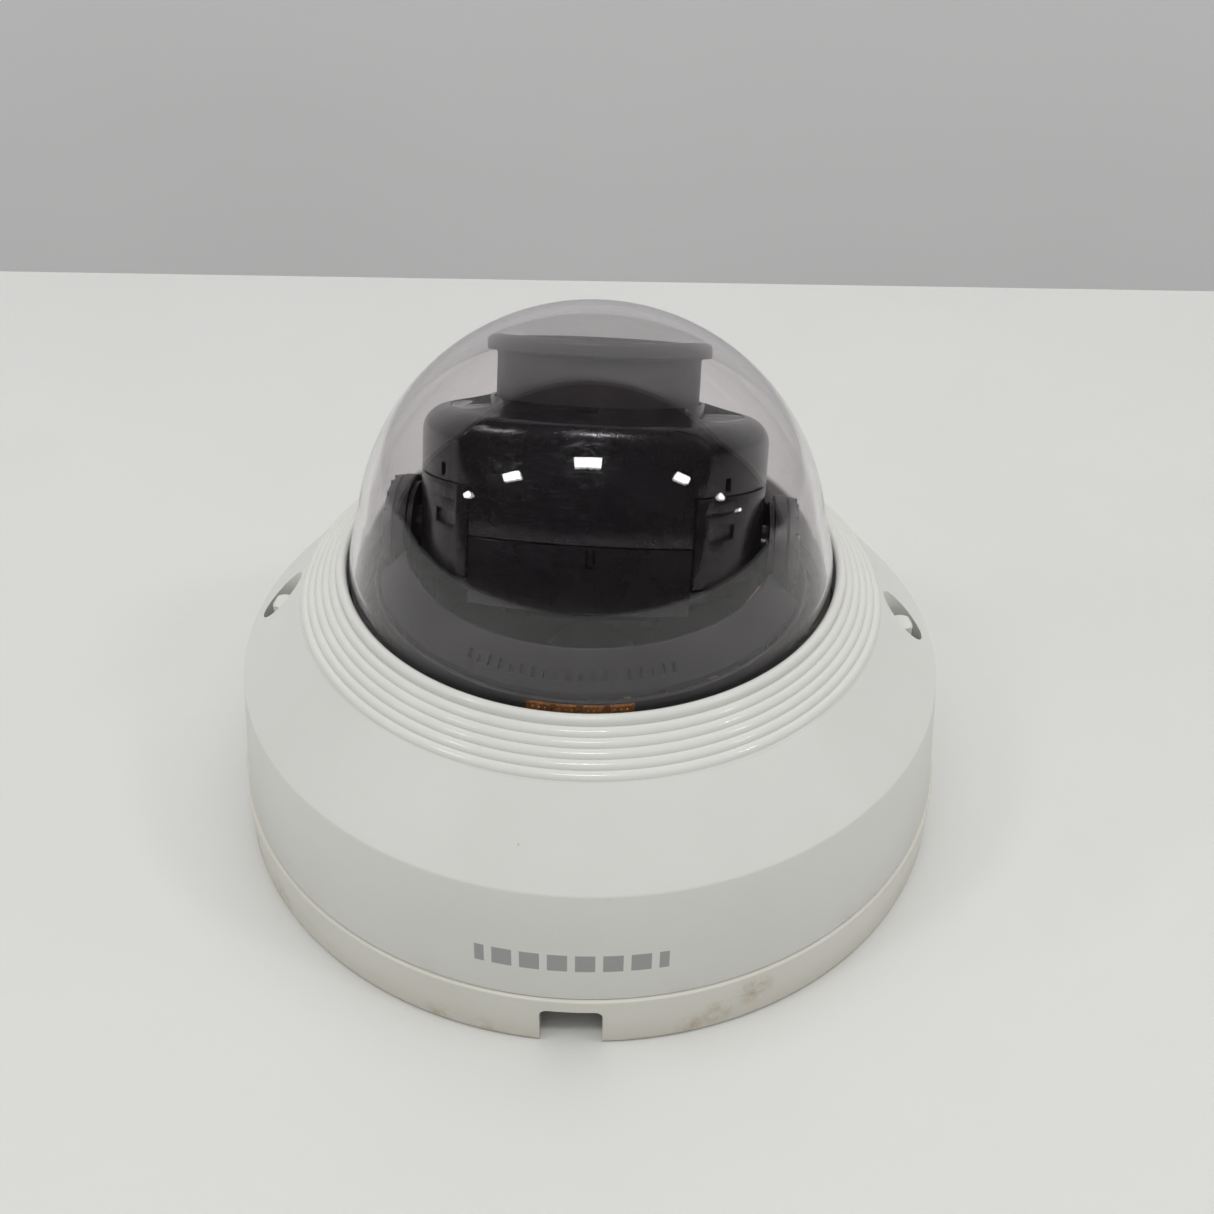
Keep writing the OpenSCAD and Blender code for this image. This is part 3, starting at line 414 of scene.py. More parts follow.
def bubble_clear():
    """Clear moulded polycarbonate with faint haze and hairline scratches."""
    m = Nodes("bubble_clear")
    hair = m.remap(m.noise(1, 3, 0.8, place=m.stretched(240, 5200, 900, (0.3, 0.2, 0.5))),
                   0.68, 0.74)
    hair = m.math("MULTIPLY", hair, m.remap(m.noise(60, 2), 0.52, 0.66))
    # wiping marks round the middle of the front, where the lights show them as a haze
    wipe = m.math("MULTIPLY", m.near((-4, -30, 87), 21, 0.25),
                  m.remap(m.noise(1, 5, 0.75, 2.5,
                                  place=m.stretched(170, 420, 620, (0.2, 0.5, 0.3))), 0.5, 0.68))
    m.set(Base_Color=(0.90, 0.875, 0.885), IOR=1.49, Transmission_Weight=1.0,
          Coat_Weight=m.math("MULTIPLY", wipe, 0.5), Coat_Roughness=0.22,
          Coat_Tint=(0.75, 0.85, 1.0),
          Roughness=m.math("ADD", m.remap(m.noise(420, 4, 0.7), 0.5, 0.8, 0.004, 0.02),
                           m.math("MULTIPLY", hair, 0.2)),
          Normal=m.bump(m.noise(45, 2), 0.00003, 0.35))
    # the bubble's own shadow is faint, so light reaches the camera inside it
    clear = m.add("ShaderNodeBsdfTransparent")
    clear.inputs[0].default_value = (0.90, 0.89, 0.90, 1)
    path = m.add("ShaderNodeLightPath")
    both = m.add("ShaderNodeMixShader")
    m.link(path.outputs["Is Shadow Ray"], both.inputs[0])
    m.link(m.shader.outputs[0], both.inputs[1])
    m.link(clear.outputs[0], both.inputs[2])
    m.link(both.outputs[0], m.output.inputs[0])
    return m.material


def lens_glass():
    """Coated glass with an uneven violet and blue tint."""
    m = Nodes("lens_glass")
    tint = m.mix(m.remap(m.noise(160, 2), 0.3, 0.7), (0.16, 0.10, 0.26), (0.10, 0.16, 0.24))
    m.set(Base_Color=tint, IOR=1.6, Transmission_Weight=0.75, Coat_Weight=1.0, Coat_Roughness=0.02,
          Roughness=m.remap(m.noise(900, 3), 0.4, 0.8, 0.01, 0.05))
    return m.material


def emitter_resin():
    """Clear, slightly yellow resin of the infrared emitters."""
    m = Nodes("emitter_resin")
    tint = m.mix(m.remap(m.noise(1500, 2), 0.35, 0.7), (0.80, 0.76, 0.62), (0.90, 0.88, 0.80))
    m.set(Base_Color=tint, IOR=1.5, Transmission_Weight=0.6,
          Roughness=m.remap(m.noise(1800, 2), 0.3, 0.8, 0.08, 0.25))
    return m.material


def board(name, mask, trace):
    """Solder mask with copper tracks and vias under it, in a square grid of runs."""
    m = Nodes(name)
    runs = m.voronoi(330, "F1", place=m.stretched(1, 1, 0.02))
    runs = m.math("PINGPONG", m.math("MULTIPLY", runs, 9), 1)
    vias = m.remap(m.voronoi(420, place=m.stretched(1, 1, 0.02)), 0.12, 0.07)
    lines = m.remap(runs, 0.42, 0.5, 0, 0.6)
    base = m.mix(lines, mask, trace)
    base = m.mix(vias, base, (0.62, 0.56, 0.36))
    m.set(Base_Color=base, Roughness=m.remap(m.noise(300, 3), 0.3, 0.7, 0.24, 0.4),
          Normal=m.bump(m.math("ADD", lines, vias), 0.00003, 0.5))
    return m.material


def contact_amber():
    """Amber pads with darker spots, half metallic."""
    m = Nodes("contact_amber")
    spots = m.remap(m.noise(1600, 4, 0.7), 0.4, 0.65)
    base = m.mix(spots, (0.22, 0.08, 0.012), (0.55, 0.22, 0.04))
    m.set(Base_Color=base, Roughness=m.remap(m.noise(900, 3), 0.3, 0.7, 0.18, 0.42),
          Metallic=0.35, Normal=m.bump(m.noise(2600, 2), 0.00004))
    return m.material


def window_dark():
    """Dark red-black window plastic with a thin gloss."""
    m = Nodes("window_dark")
    base = m.mix(m.remap(m.noise(120, 3), 0.3, 0.7), (0.010, 0.004, 0.006), (0.022, 0.008, 0.011))
    m.set(Base_Color=base, Roughness=m.remap(m.noise(500, 3), 0.3, 0.75, 0.07, 0.2),
          Coat_Weight=0.4, Coat_Roughness=0.05, Normal=m.bump(m.noise(700, 2), 0.00001, 0.5))
    return m.material


def table_white():
    """The table: pale, matt, with a few smudges."""
    m = Nodes("table_white")
    base = m.mix(m.remap(m.noise(3.2, 4, 0.6), 0.3, 0.7), (0.70, 0.70, 0.68), (0.735, 0.735, 0.715))
    smudge = m.math("MULTIPLY", m.remap(m.noise(14, 5, 0.6), 0.6, 0.82), 0.18)
    base = m.mix(smudge, base, (0.60, 0.56, 0.48))
    m.set(Base_Color=base, Roughness=m.remap(m.noise(24, 4), 0.3, 0.7, 0.5, 0.62),
          Specular_IOR_Level=0.3, Normal=m.bump(m.noise(1400, 2), 0.00003, 0.3))
    return m.material


def wall_grey():
    """The plain wall far behind, lit a little by itself."""
    m = Nodes("wall_grey")
    base = m.mix(m.remap(m.noise(2.4, 3), 0.3, 0.7), (0.74, 0.735, 0.73), (0.78, 0.775, 0.77))
    m.set(Base_Color=base, Roughness=0.8, Emission_Color=(0.9, 0.89, 0.88), Emission_Strength=0.1,
          Normal=m.bump(m.noise(300, 2), 0.0002, 0.2))
    return m.material


MATERIALS = {
    "base_paint": base_paint(), "cover_paint": cover_paint(), "bubble_clear": bubble_clear(),
    "black_rubber": moulded("black_rubber", (0.022, 0.021, 0.021), 0.62, 1800, 0.00003),
    "hood_rubber": moulded("hood_rubber", (0.042, 0.037, 0.038), 0.5, 2600, 0.00002, spec=0.45),
    "screw_steel": metal("screw_steel", (0.42, 0.41, 0.40), 0.34, (900, 900, 5200)),
    "black_plastic": moulded("black_plastic", (0.015, 0.013, 0.014), 0.38),
    "liner_plastic": moulded("liner_plastic", (0.021, 0.019, 0.022), 0.42, 3600, 0.00001),
    "knob_plastic": moulded("knob_plastic", (0.045, 0.038, 0.040), 0.36),
    "module_plastic": moulded("module_plastic", (0.012, 0.011, 0.012), 0.2, 2800, 0.00001),
    "window_dark": window_dark(),
    "chassis_steel": metal("chassis_steel", (0.52, 0.53, 0.55), 0.32, (400, 5200, 400)),
    "board_green": board("board_green", (0.012, 0.085, 0.036), (0.03, 0.17, 0.075)),
    "chip_black": moulded("chip_black", (0.02, 0.02, 0.021), 0.5, 5200, 0.00001),
    "standoff_brass": metal("standoff_brass", (0.60, 0.43, 0.17), 0.3, (500, 500, 6000)),
    "pad_grey": moulded("pad_grey", (0.18, 0.24, 0.30), 0.7, 1500, 0.00004),
    "sink_aluminium": metal("sink_aluminium", (0.62, 0.63, 0.65), 0.4, (300, 6000, 6000)),
    "capacitor_can": metal("capacitor_can", (0.34, 0.35, 0.38), 0.3, (500, 500, 6000)),
    "jack_shield": metal("jack_shield", (0.58, 0.58, 0.57), 0.26, (600, 600, 3600)),
    "terminal_green": moulded("terminal_green", (0.02, 0.17, 0.07), 0.4),
    "bearing_white": moulded("bearing_white", (0.66, 0.64, 0.58), 0.3, 2400, 0.00001, 0.04),
    "contact_amber": contact_amber(),
    "button_red": moulded("button_red", (0.42, 0.05, 0.035), 0.4),
    "harness_tan": moulded("harness_tan", (0.36, 0.26, 0.13), 0.45, 2400, 0.00002),
    "clip_yellow": moulded("clip_yellow", (0.25, 0.22, 0.02), 0.4, 2600),
    "led_board_white": board("led_board_white", (0.55, 0.55, 0.53), (0.66, 0.66, 0.64)),
    "emitter_resin": emitter_resin(),
    "barrel_black": moulded("barrel_black", (0.02, 0.02, 0.022), 0.34, 5200, 0.00001),
    "lens_glass": lens_glass(),
}


def dress(obj, slot):
    """Gives obj the material of its slot."""
    obj.data.materials.clear()
    obj.data.materials.append(MATERIALS[slot])
    return obj


def piece(obj, body, slot, *replaced):
    """A finished visual piece: its material, the body that it rides on and what it stands for."""
    dress(obj, slot)
    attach(obj, body)
    if replaced:
        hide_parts(*replaced)
    return obj


slot_of = {s["node"]: s["material_slot"] for s in frame["record"]["subparts"]}
for name, node in nodes.items():
    dress(node, slot_of[name])


# ---------------------------------------------------------------- base

def build_base():
    """The base: low outer wall, floor, locating rim, bosses and posts, with the notch cut out."""
    outer = rounded([
        (0, 8.6), (60.2, 8.6), (65.4, 8.6, 0.5), (65.5, 0, 0.3), (68.05, 0, 0.6), (68.5, 0.9, 0.8),
        (68.5, 11, 0.35), (67.4, 11, 0.1), (67.35, 9.85), (66.05, 9.85), (66.0, 11), (64.6, 11),
        (64.6, 14.6, 0.4), (62.4, 14.6, 0.4), (62.4, 11, 0.3), (0, 11)])
    obj = finished("base_shell", lathe(outer, 360, closed=False), 35)
    add = bmesh.new()
    for hole in MOUNT_HOLES:
        add_cylinder(add, hole, 5, 0.02, 9, 64, bevel=0.25)
    for s in (-1, 1):
        add_cylinder(add, (SCREW_X * s, 0, 0), 4.6, 9, 27.4, 64, bevel=0.3)
    for x in (-POST, POST):
        for y in (-POST, POST):
            add_cylinder(add, (x, y, 0), 3.5, 9, 24.5, 48, bevel=0.25)
    for k in range(12):
        a = 15 + 30 * k
        add_block(add, (49, -0.6, 5.2), (65.6, 0.6, 9), 0.15,
                  matrix=Matrix.Rotation(math.radians(a), 4, "Z"))
    boolean(obj, add, "UNION")
    cut = bmesh.new()
    for hole in MOUNT_HOLES:
        add_cylinder(cut, hole, 2.25, -1, 20, 48)
    for s in (-1, 1):
        add_cylinder(cut, (SCREW_X * s, 0, 0), 2, 13, 33, 48)
    for x in (-POST, POST):
        for y in (-POST, POST):
            add_cylinder(cut, (x, y, 0), 1.55, 14, 34, 32)
    for x in (-25.5, 25.5):
        for y in (-34, 30):
            add_cylinder(cut, (x, y, 0), 1.3, 7, 18, 32)
    add_cylinder(cut, (0, 45, 0), 8, -1, 30, 96)
    # the cable notch, a slot with two round upper corners
    w, h, r = 5.35, 8.4, 1.4
    outline = [(-w, -1), (w, -1)]
    outline += arc(w - r, h - r, r, 0, 90, 8) + arc(-w + r, h - r, r, 90, 180, 8)
    notch = bmesh.new()
    near = [notch.verts.new((x, -70.5, z)) for x, z in outline]
    far = [notch.verts.new((x, -64.2, z)) for x, z in outline]
    notch.faces.new(near)
    notch.faces.new(far[::-1])
    for i in range(len(near)):
        j = (i + 1) % len(near)
        notch.faces.new((near[i], near[j], far[j], far[i]))
    merge(cut, notch)
    boolean(obj, cut, "DIFFERENCE")
    return piece(obj, "root", "base_paint", "base_housing")


build_base()


# ---------------------------------------------------------------- cover

def rib_points():
    """The collar from its outer edge up to the lip: five round bands with a crease between each."""
    low, high = Vector((53.72, 47.51)), Vector((46.87, 53.01))
    step = (high - low) / 5
    normal = Vector((high.y - low.y, low.x - high.x)).normalized()
    out = []
    for k in range(5):
        a = low + step * k
        for i in range(8):
            t = i / 8
            bulge = 0.46 * math.sin(math.pi * t) ** 0.62
            p = a + step * t + normal * bulge
            out.append((p.x, p.y))
    return out


def build_cover():
    """The cover: wall, shoulder, ribbed collar, lip and the two screw pockets."""
    wall = [(65.5, 11.12)]
    wall += arc(67.66, 11.42, 0.3, -90, -4, 5)
    corner = rounded([(68.0, 11.4, 0), (65.8, 34.0, 1.0), (53.72, 47.51, 0)], 6)
    wall += corner[1:-1]
    wall += [(59.8, 40.71), (53.9, 47.31)]
    wall += rib_points()
    wall += [(46.87, 53.01), (46.72, 52.94)]
    wall += arc(45.83, 53.67, 0.95, 10, 178, 14)
    wall += [(44.9, 53.2), (44.9, 48.4), (50.6, 48.4), (50.8, 46.6), (62.9, 33.4), (63.2, 32.6)]
    obj = finished("cover_shell", lathe(wall, 360), 32)
    add = bmesh.new()
    for s in (-1, 1):
        add_cylinder(add, (SCREW_X * s, 0, 0), 6.05, 27.6, 38.2, 64)
    tubes = finished("tubes", add)
    envelope = [(0, 12), (66.6, 12), (64.6, 33.9), (52.6, 46.9), (0, 46.9)]
    boolean(tubes, lathe(envelope, 240, closed=False), "INTERSECT")
    boolean(obj, tubes, "UNION")
    cut = bmesh.new()
    for s in (-1, 1):
        add_cylinder(cut, (SCREW_X * s, 0, 0), 4.15, 30, 60, 72)
        add_cylinder(cut, (SCREW_X * s, 0, 0), 2.15, 20, 40, 48)
    boolean(obj, cut, "DIFFERENCE", 32)
    return piece(obj, "root", "cover_paint", "top_cover")


build_cover()


# ---------------------------------------------------------------- bubble

def build_bubble():
    """A round cap that runs into a flared skirt, then down past the hole to the clamped flange."""
    r, wall, z = 42.6, 1.6, PIVOT.z / MM
    flare = math.radians(14)
    turn_out = (r * math.cos(flare), z + r * math.sin(flare))
    skirt_r = 44.35
    turn_down = (skirt_r, turn_out[1] - (skirt_r - turn_out[0]) / math.tan(flare))
    inner = r - wall
    inner_out = (inner * math.cos(flare), z + inner * math.sin(flare))
    inner_down = (skirt_r - wall, inner_out[1] - (skirt_r - wall - inner_out[0]) / math.tan(flare))
    outside = rounded([(0, 0), turn_out, (*turn_down, 14), (skirt_r, 47.6, 0.4), (46.6, 47.6, 0.3),
                       (46.6, 45.4, 0.3), (skirt_r - wall, 45.4, 0.2), (*inner_down, 12), inner_out,
                       (0, 1)], 8)[1:-1]
    profile = [(0, z + r)] + arc(0, z, r, 90, 14, 64)[1:-1] + outside
    profile += arc(0, z, inner, 14, 90, 64)[1:-1] + [(0, z + inner)]
    obj = finished("bubble", lathe(profile, 256, closed=False), 30)
    return piece(obj, "root", "bubble_clear", "dome_bubble")


build_bubble()


# ---------------------------------------------------------------- liner and shroud

def build_liner():
    wall = rounded([(39.1, 26.5), (39.9, 26.5), (39.9, 44.6), (40.05, 45.0, 0.1), (39.9, 45.4),
                    (39.9, 52.2, 0.3), (39.1, 52.2, 0.3)], 4)
    obj = finished("liner", lathe(wall, 300), 35)
    add = bmesh.new()
    for k in range(4):
        turn = Matrix.Rotation(math.radians(22.5 + 90 * k), 4, "Z")
        add_block(add, (39.5, -3.5, 26.6), (44, 3.5, 28), 0.3, matrix=turn)
        for y in (-2.6, 2.6):
            add_block(add, (39.6, y - 0.4, 27.6), (42.2, y + 0.4, 31), 0.15, matrix=turn)
    boolean(obj, add, "UNION")
    cut = bmesh.new()
    for k in range(4):
        a = math.radians(22.5 + 90 * k)
        add_cylinder(cut, (41.8 * math.cos(a), 41.8 * math.sin(a), 0), 1.1, 25, 30, 32)
    boolean(obj, cut)
    return piece(obj, "root", "liner_plastic", "inner_liner")


def build_contact_strip():
    """A flexible strip bent round the liner, with amber pads, gaps and small solder joints, all in the one amber
    finish.
    """
    parts = bmesh.new()
    merge(parts, lathe([(39.93, 48.4), (40.02, 48.4), (40.02, 51.8), (39.93, 51.8)], 48,
                       start=-102.8, sweep=25.6))
    for k in range(4):
        start = -102.8 + 6.4 * k + 0.75
        merge(parts, lathe(rounded([(39.98, 49.4), (40.22, 49.4, 0.08), (40.22, 51.7, 0.08),
                                    (39.98, 51.7)], 3), 16, start=start, sweep=4.9))
        for i in range(3):
            a = math.radians(start + 1.0 + 1.45 * i)
            for z in (49.9, 51.0):
                dot = bmesh.new()
                bmesh.ops.create_icosphere(dot, subdivisions=2, radius=0.24 if k < 3 else 0.3)
                dot.transform(Matrix.Translation((40.16 * math.cos(a), 40.16 * math.sin(a), z)))
                merge(parts, dot)
    return piece(finished("contact_pads", parts, 40), "root", "contact_amber", "contact_strip")


def build_shroud():
    """The cone round the moving camera: open at the back and at the arms, with legs and vents."""
    cone = rounded([(38.7, 52.0, 0.2), (38.7, 53.2, 0.5), (34.1, 59.0, 0.35), (33.6, 58.8, 0.2),
                    (33.6, 57.6, 0.2), (37.4, 52.0, 0.2)], 4)
    obj = finished("shroud", lathe(cone, 300), 35)
    add = bmesh.new()
    for a in (-150, -90, -30):
        add_block(add, (34.1, -3, 30.4), (35.7, 3, 55.4), 0.2,
                  matrix=Matrix.Rotation(math.radians(a), 4, "Z"))
    for s in (-1, 1):
        for y in (11, -14):
            near, far = sorted((33 * s, 34.5 * s))
            add_block(add, (near, y, 30.4), (far, y + 3, 55.0), 0.2)
    boolean(obj, add, "UNION")
    boolean(obj, lathe([(30.6, 30.4), (36.1, 30.4), (36.1, 31.2), (30.6, 31.2)], 240), "UNION")
    cut = bmesh.new()
    for s in (-1, 1):
        add_cylinder(cut, (36 * s, 0, 57.4), 10.3, -6, 6, 96, axis="X")
        add_block(cut, (40.3 * s - 8, -10, 29.4), (40.3 * s + 8, 10, 49.4))
    boolean(obj, cut)
    cut = bmesh.new()
    add_block(cut, (-32.4, 0, 31.2), (32.4, 50, 91.2))
    boolean(obj, cut)
    # a row of shallow marks that runs round the front of the cone
    cut = bmesh.new()
    slope = math.atan2(5.8, -4.6)
    for k in range(19):
        turn = Matrix.Rotation(math.radians(-90 - 27 + 3 * k), 4, "Z")
        lean = Matrix.Translation((36.9, 0, 55.45)) @ Matrix.Rotation(-slope, 4, "Y")
        add_block(cut, (-0.9, -0.42, -0.22), (0.9 - 0.5 * (k % 3 == 1), 0.42, 0.6),
                  matrix=turn @ lean)
    boolean(obj, cut)
    obj.data.transform(PAN_FRAME)
    return piece(obj, "pan", "liner_plastic", "pan_shroud")


def sweep_tube(points, radius, sides=14, smooth=3):
    """A round lead along a smoothed path of points."""
    path = [Vector(p) for p in points]
    for _ in range(smooth):
        finer = [path[0]]
        for a, b in zip(path, path[1:]):
            finer += [a.lerp(b, 0.25), a.lerp(b, 0.75)]
        path = finer + [path[-1]]
    bm = bmesh.new()
    side = Vector((1, 0, 0))
    rings = []
    for i, p in enumerate(path):
        along = (path[min(i + 1, len(path) - 1)] - path[max(i - 1, 0)]).normalized()
        side = (side - along * side.dot(along)).normalized()
        up = along.cross(side)
        rings.append([bm.verts.new(p + radius * (math.cos(t) * side + math.sin(t) * up))
                      for t in [2 * math.pi * k / sides for k in range(sides)]])
    for a, b in zip(rings, rings[1:]):
        for k in range(sides):
            j = (k + 1) % sides
            bm.faces.new((a[k], a[j], b[j], b[k]))
    bm.faces.new(rings[0])
    bm.faces.new(rings[-1][::-1])
    return bm


def polar(r, a, z):
    """The point at radius r, angle a in degrees and height z."""
    return (r * math.cos(math.radians(a)), r * math.sin(math.radians(a)), z)


def build_harness():
    """The tan lead: out along the turret, up, round the front right of the opening, and back."""
    ends = []
    for a, way in ((-62, 1), (-19.5, -1)):
        leg = [polar(3.2, a, 22), polar(3.2, a, 30.6), polar(4.4, a, 31.9), polar(31.9, a, 31.9),
               polar(33.1, a, 33.2), polar(33.1, a, 55.6), polar(33.1, a + way * 1.4, 57)]
        ends.append(leg[::way])
    middle = [polar(33.1, a, 57) for a in range(-58, -22, 4)]
    obj = finished("harness", sweep_tube(ends[0] + middle + ends[1], 0.55), 60, PAN_FRAME)
    piece(obj, "pan", "harness_tan", "camera_harness")
    clip = bmesh.new()
    add_block(clip, (32.1, -1.3, 50), (34.1, 1.3, 56), 0.35, 3)
    add_cylinder(clip, (33.1, 0, 0), 1.05, 52.2, 53.4, 32, bevel=0.2)
    turn = PAN_FRAME @ Matrix.Rotation(math.radians(-19.5), 4, "Z")
    return piece(finished("clip", clip, 40, turn), "pan", "clip_yellow", "wire_clip")


build_liner()
build_contact_strip()
build_shroud()
build_harness()


# ---------------------------------------------------------------- camera module

def outline_r(angle, r, arc_r):
    """Radius of the module's outline: round with radius r, flatter at the front and back."""
    off, s = 33.0, abs(math.sin(angle))
    flat = -off * s + math.sqrt(arc_r * arc_r - off * off * (1 - s * s))
    blend = 0.6
    gap = (r - flat) / blend
    return (min(r, flat) - blend * math.log1p(math.exp(-abs(gap)))
            + blend * math.log(2) * math.exp(-gap * gap))


def loops(rows, segments=240):
    """A closed skin through rows of (inset, height, edge) round the module's outline. A row whose
    inset is None is a plain circle of radius edge."""
    bm = bmesh.new()
    rings = []
    for inset, z, extra in rows:
        ring = []
        for i in range(segments):
            a = 2 * math.pi * i / segments
            if inset is None:
                r = extra
            else:
                r = outline_r(a, 31 - inset - extra, 60 - inset - extra * 0.55)
            ring.append(bm.verts.new((r * math.cos(a), r * math.sin(a), z)))
        rings.append(ring)
    for a, b in zip(rings, rings[1:] + rings[:1]):
        for i in range(segments):
            j = (i + 1) % segments
            bm.faces.new((a[i], a[j], b[j], b[i]))
    return bm


def prism(outline, z0, z1, bevel=0.0):
    """A closed prism on a plane outline."""
    bm = bmesh.new()
    low = [bm.verts.new((x, y, z0)) for x, y in outline]
    high = [bm.verts.new((x, y, z1)) for x, y in outline]
    bm.faces.new(low[::-1])
    bm.faces.new(high)
    for i in range(len(low)):
        j = (i + 1) % len(low)
        bm.faces.new((low[i], low[j], high[j], high[i]))
    if bevel:
        rim = [e for e in bm.edges if all(abs(v.co.z - z1) < 1e-6 for v in e.verts)]
        bmesh.ops.bevel(bm, geom=rim, offset=bevel, segments=3, profile=0.5, affect="EDGES")
    return bm


def wedge(half, z0, z1, r0):
    """The two side sectors of the module outside r0, of angle half to each side of +X and -X."""
    bm = bmesh.new()
    for s in (0, 180):
        outer = [polar(60, s - half + 2 * half * k / 40, 0)[:2] for k in range(41)]
        inner = [polar(r0, s + half - 2 * half * k / 40, 0)[:2] for k in range(41)]
        merge(bm, prism(outer + inner, z0, z1))
    return bm


def bean(side, r0, r1, span, steps=24):
    """The outline of a curved window with round ends."""
    middle, end_r, mid_r = -90 + side * 80, (r1 - r0) / 2, (r0 + r1) / 2
    half = span / 2 - math.degrees(math.asin(end_r / mid_r))

    def end(a, start):
        c = Vector(polar(mid_r, a, 0))
        return [(c + Vector(polar(end_r, a + start + 15 * k, 0)))[:2] for k in range(1, 12)]
    out = [polar(r1, middle - half + 2 * half * k / steps, 0)[:2] for k in range(steps + 1)]
    out += end(middle + half, 0)
    out += [polar(r0, middle + half - 2 * half * k / steps, 0)[:2] for k in range(steps + 1)]
    return out + end(middle - half, 180)


def build_front_cover():
    edge, rows = 4.5, [(0, SEAM + 0.3, 0.12), (0, SEAM + 0.45, 0)]
    rows += [(0, z, 0) for z in (8, 12, 16, RIM - edge)]
    for k in range(1, 13):
        t = math.radians(90 * k / 12)
        rows.append((0, RIM - edge + edge * math.sin(t), edge * (1 - math.cos(t))))
    rows += [(0, RIM + 0.5, 6.6), (0, RIM + 1.1, 8.9), (None, FACE - 0.25, 19.6),
             (None, FACE - 0.02, 18.9), (None, FACE - 0.12, 18.6), (None, FACE - 0.4, 18.5),
             (None, SEAM + 0.6, 18.5), (None, SEAM + 0.6, 19.8), (None, RIM - 2, 19.8)]
    rows += [(1.7, RIM - 2, 3.4), (1.7, RIM - 3.6, 1.2), (1.7, RIM - 5.4, 0), (1.7, SEAM + 0.3, 0)]
    obj = finished("front_cover", loops(rows), 42)
    cut = wedge(52.2, SEAM - 3, CHEEK_TOP + 0.35, 10)
    boolean(obj, cut)
    for side in (-1, 1):
        boolean(obj, prism(bean(side, 19.1, 26.2, 61), RIM - 0.65, RIM + 5))
        boolean(obj, prism(bean(side, 20.2, 25.4, 58), RIM - 5, RIM + 4))
    cut = bmesh.new()
    for s in (-1, 1):
        add_block(cut, (30, -0.7, CHEEK_TOP + 0.9), (33, 0.7, CHEEK_TOP + 3.2), 0.1,
                  matrix=Matrix.Rotation(math.radians(-90 + s * 50), 4, "Z"))
    add_block(cut, (-1.7, -21.6, RIM + 0.2), (1.7, -19.9, RIM + 4))
    boolean(obj, cut)
    soften(obj, 0.14)
    obj.data.transform(MODULE)
    return piece(obj, "tilt", "module_plastic", "module_front_cover")


def soften(obj, width, angle=40):
    """A small bevel on every hard edge."""
    modifier = obj.modifiers.new("edge", "BEVEL")
    modifier.width = width * MM
    modifier.segments = 2
    modifier.limit_method = "ANGLE"
    modifier.angle_limit = math.radians(angle)
    modifier.use_clamp_overlap = True
    apply_modifiers(obj)
    shade(obj.data, 45)


def build_rear_housing():
    rows = [(0, -7.9, 0.12), (0, -7.6, 0), (0, -2, 0), (0, SEAM - 0.15, 0), (0, SEAM, 0.12),
            (1.7, SEAM, 0), (1.7, -4.3, 0), (None, -4.3, 24.8), (None, -6, 24.8), (1.7, -6, 0),
            (1.7, -8, 0)]
    obj = finished("rear_housing", loops(rows), 42)
    cut = wedge(52.2, -9, SEAM + 1, 28.9)
    boolean(obj, cut)
    cut = bmesh.new()
    add_block(cut, (-40, 0, -9), (40, 40, -6.001))
    boolean(obj, cut)
    add = bmesh.new()
    for s in (-1, 1):
        add_block(add, (-6, s * 23.95 - 1.65, -5.99), (6, s * 23.95 + 1.65, -4.0), 0.2)
    boolean(obj, add, "UNION")
    cut = bmesh.new()
    for s in (-1, 1):
        add_cylinder(cut, (0, s * 23.7, 0), 1.1, -7, -2, 32)
    u = [(1.25, -0.3), (1.25, -3.6), (2.85, -3.6), (2.85, -0.3), (2.45, -0.3), (2.45, -3.2),
         (1.65, -3.2), (1.65, -0.3)]
    latch = prism([(x, z) for x, z in u], -1.2, 1.2)
    latch.transform(Matrix.Translation((0, -27.1, SEAM)) @ Matrix.Rotation(math.pi / 2, 4, "X"))
    merge(cut, latch)
    boolean(obj, cut)
    obj.data.transform(MODULE)
    return piece(obj, "tilt", "module_plastic", "module_rear_housing")


def build_windows():
    for side, name in ((-1, "ir_window_left"), (1, "ir_window_right")):
        bm = prism(bean(side, 19.25, 26.05, 60), RIM - 0.64, RIM - 0.1, 0.2)
        merge(bm, prism(bean(side, 20.4, 25.2, 57.2), RIM - 2.0, RIM - 0.66))
        piece(finished(name + "_lens", bm, 35, MODULE), "tilt", "window_dark", name)


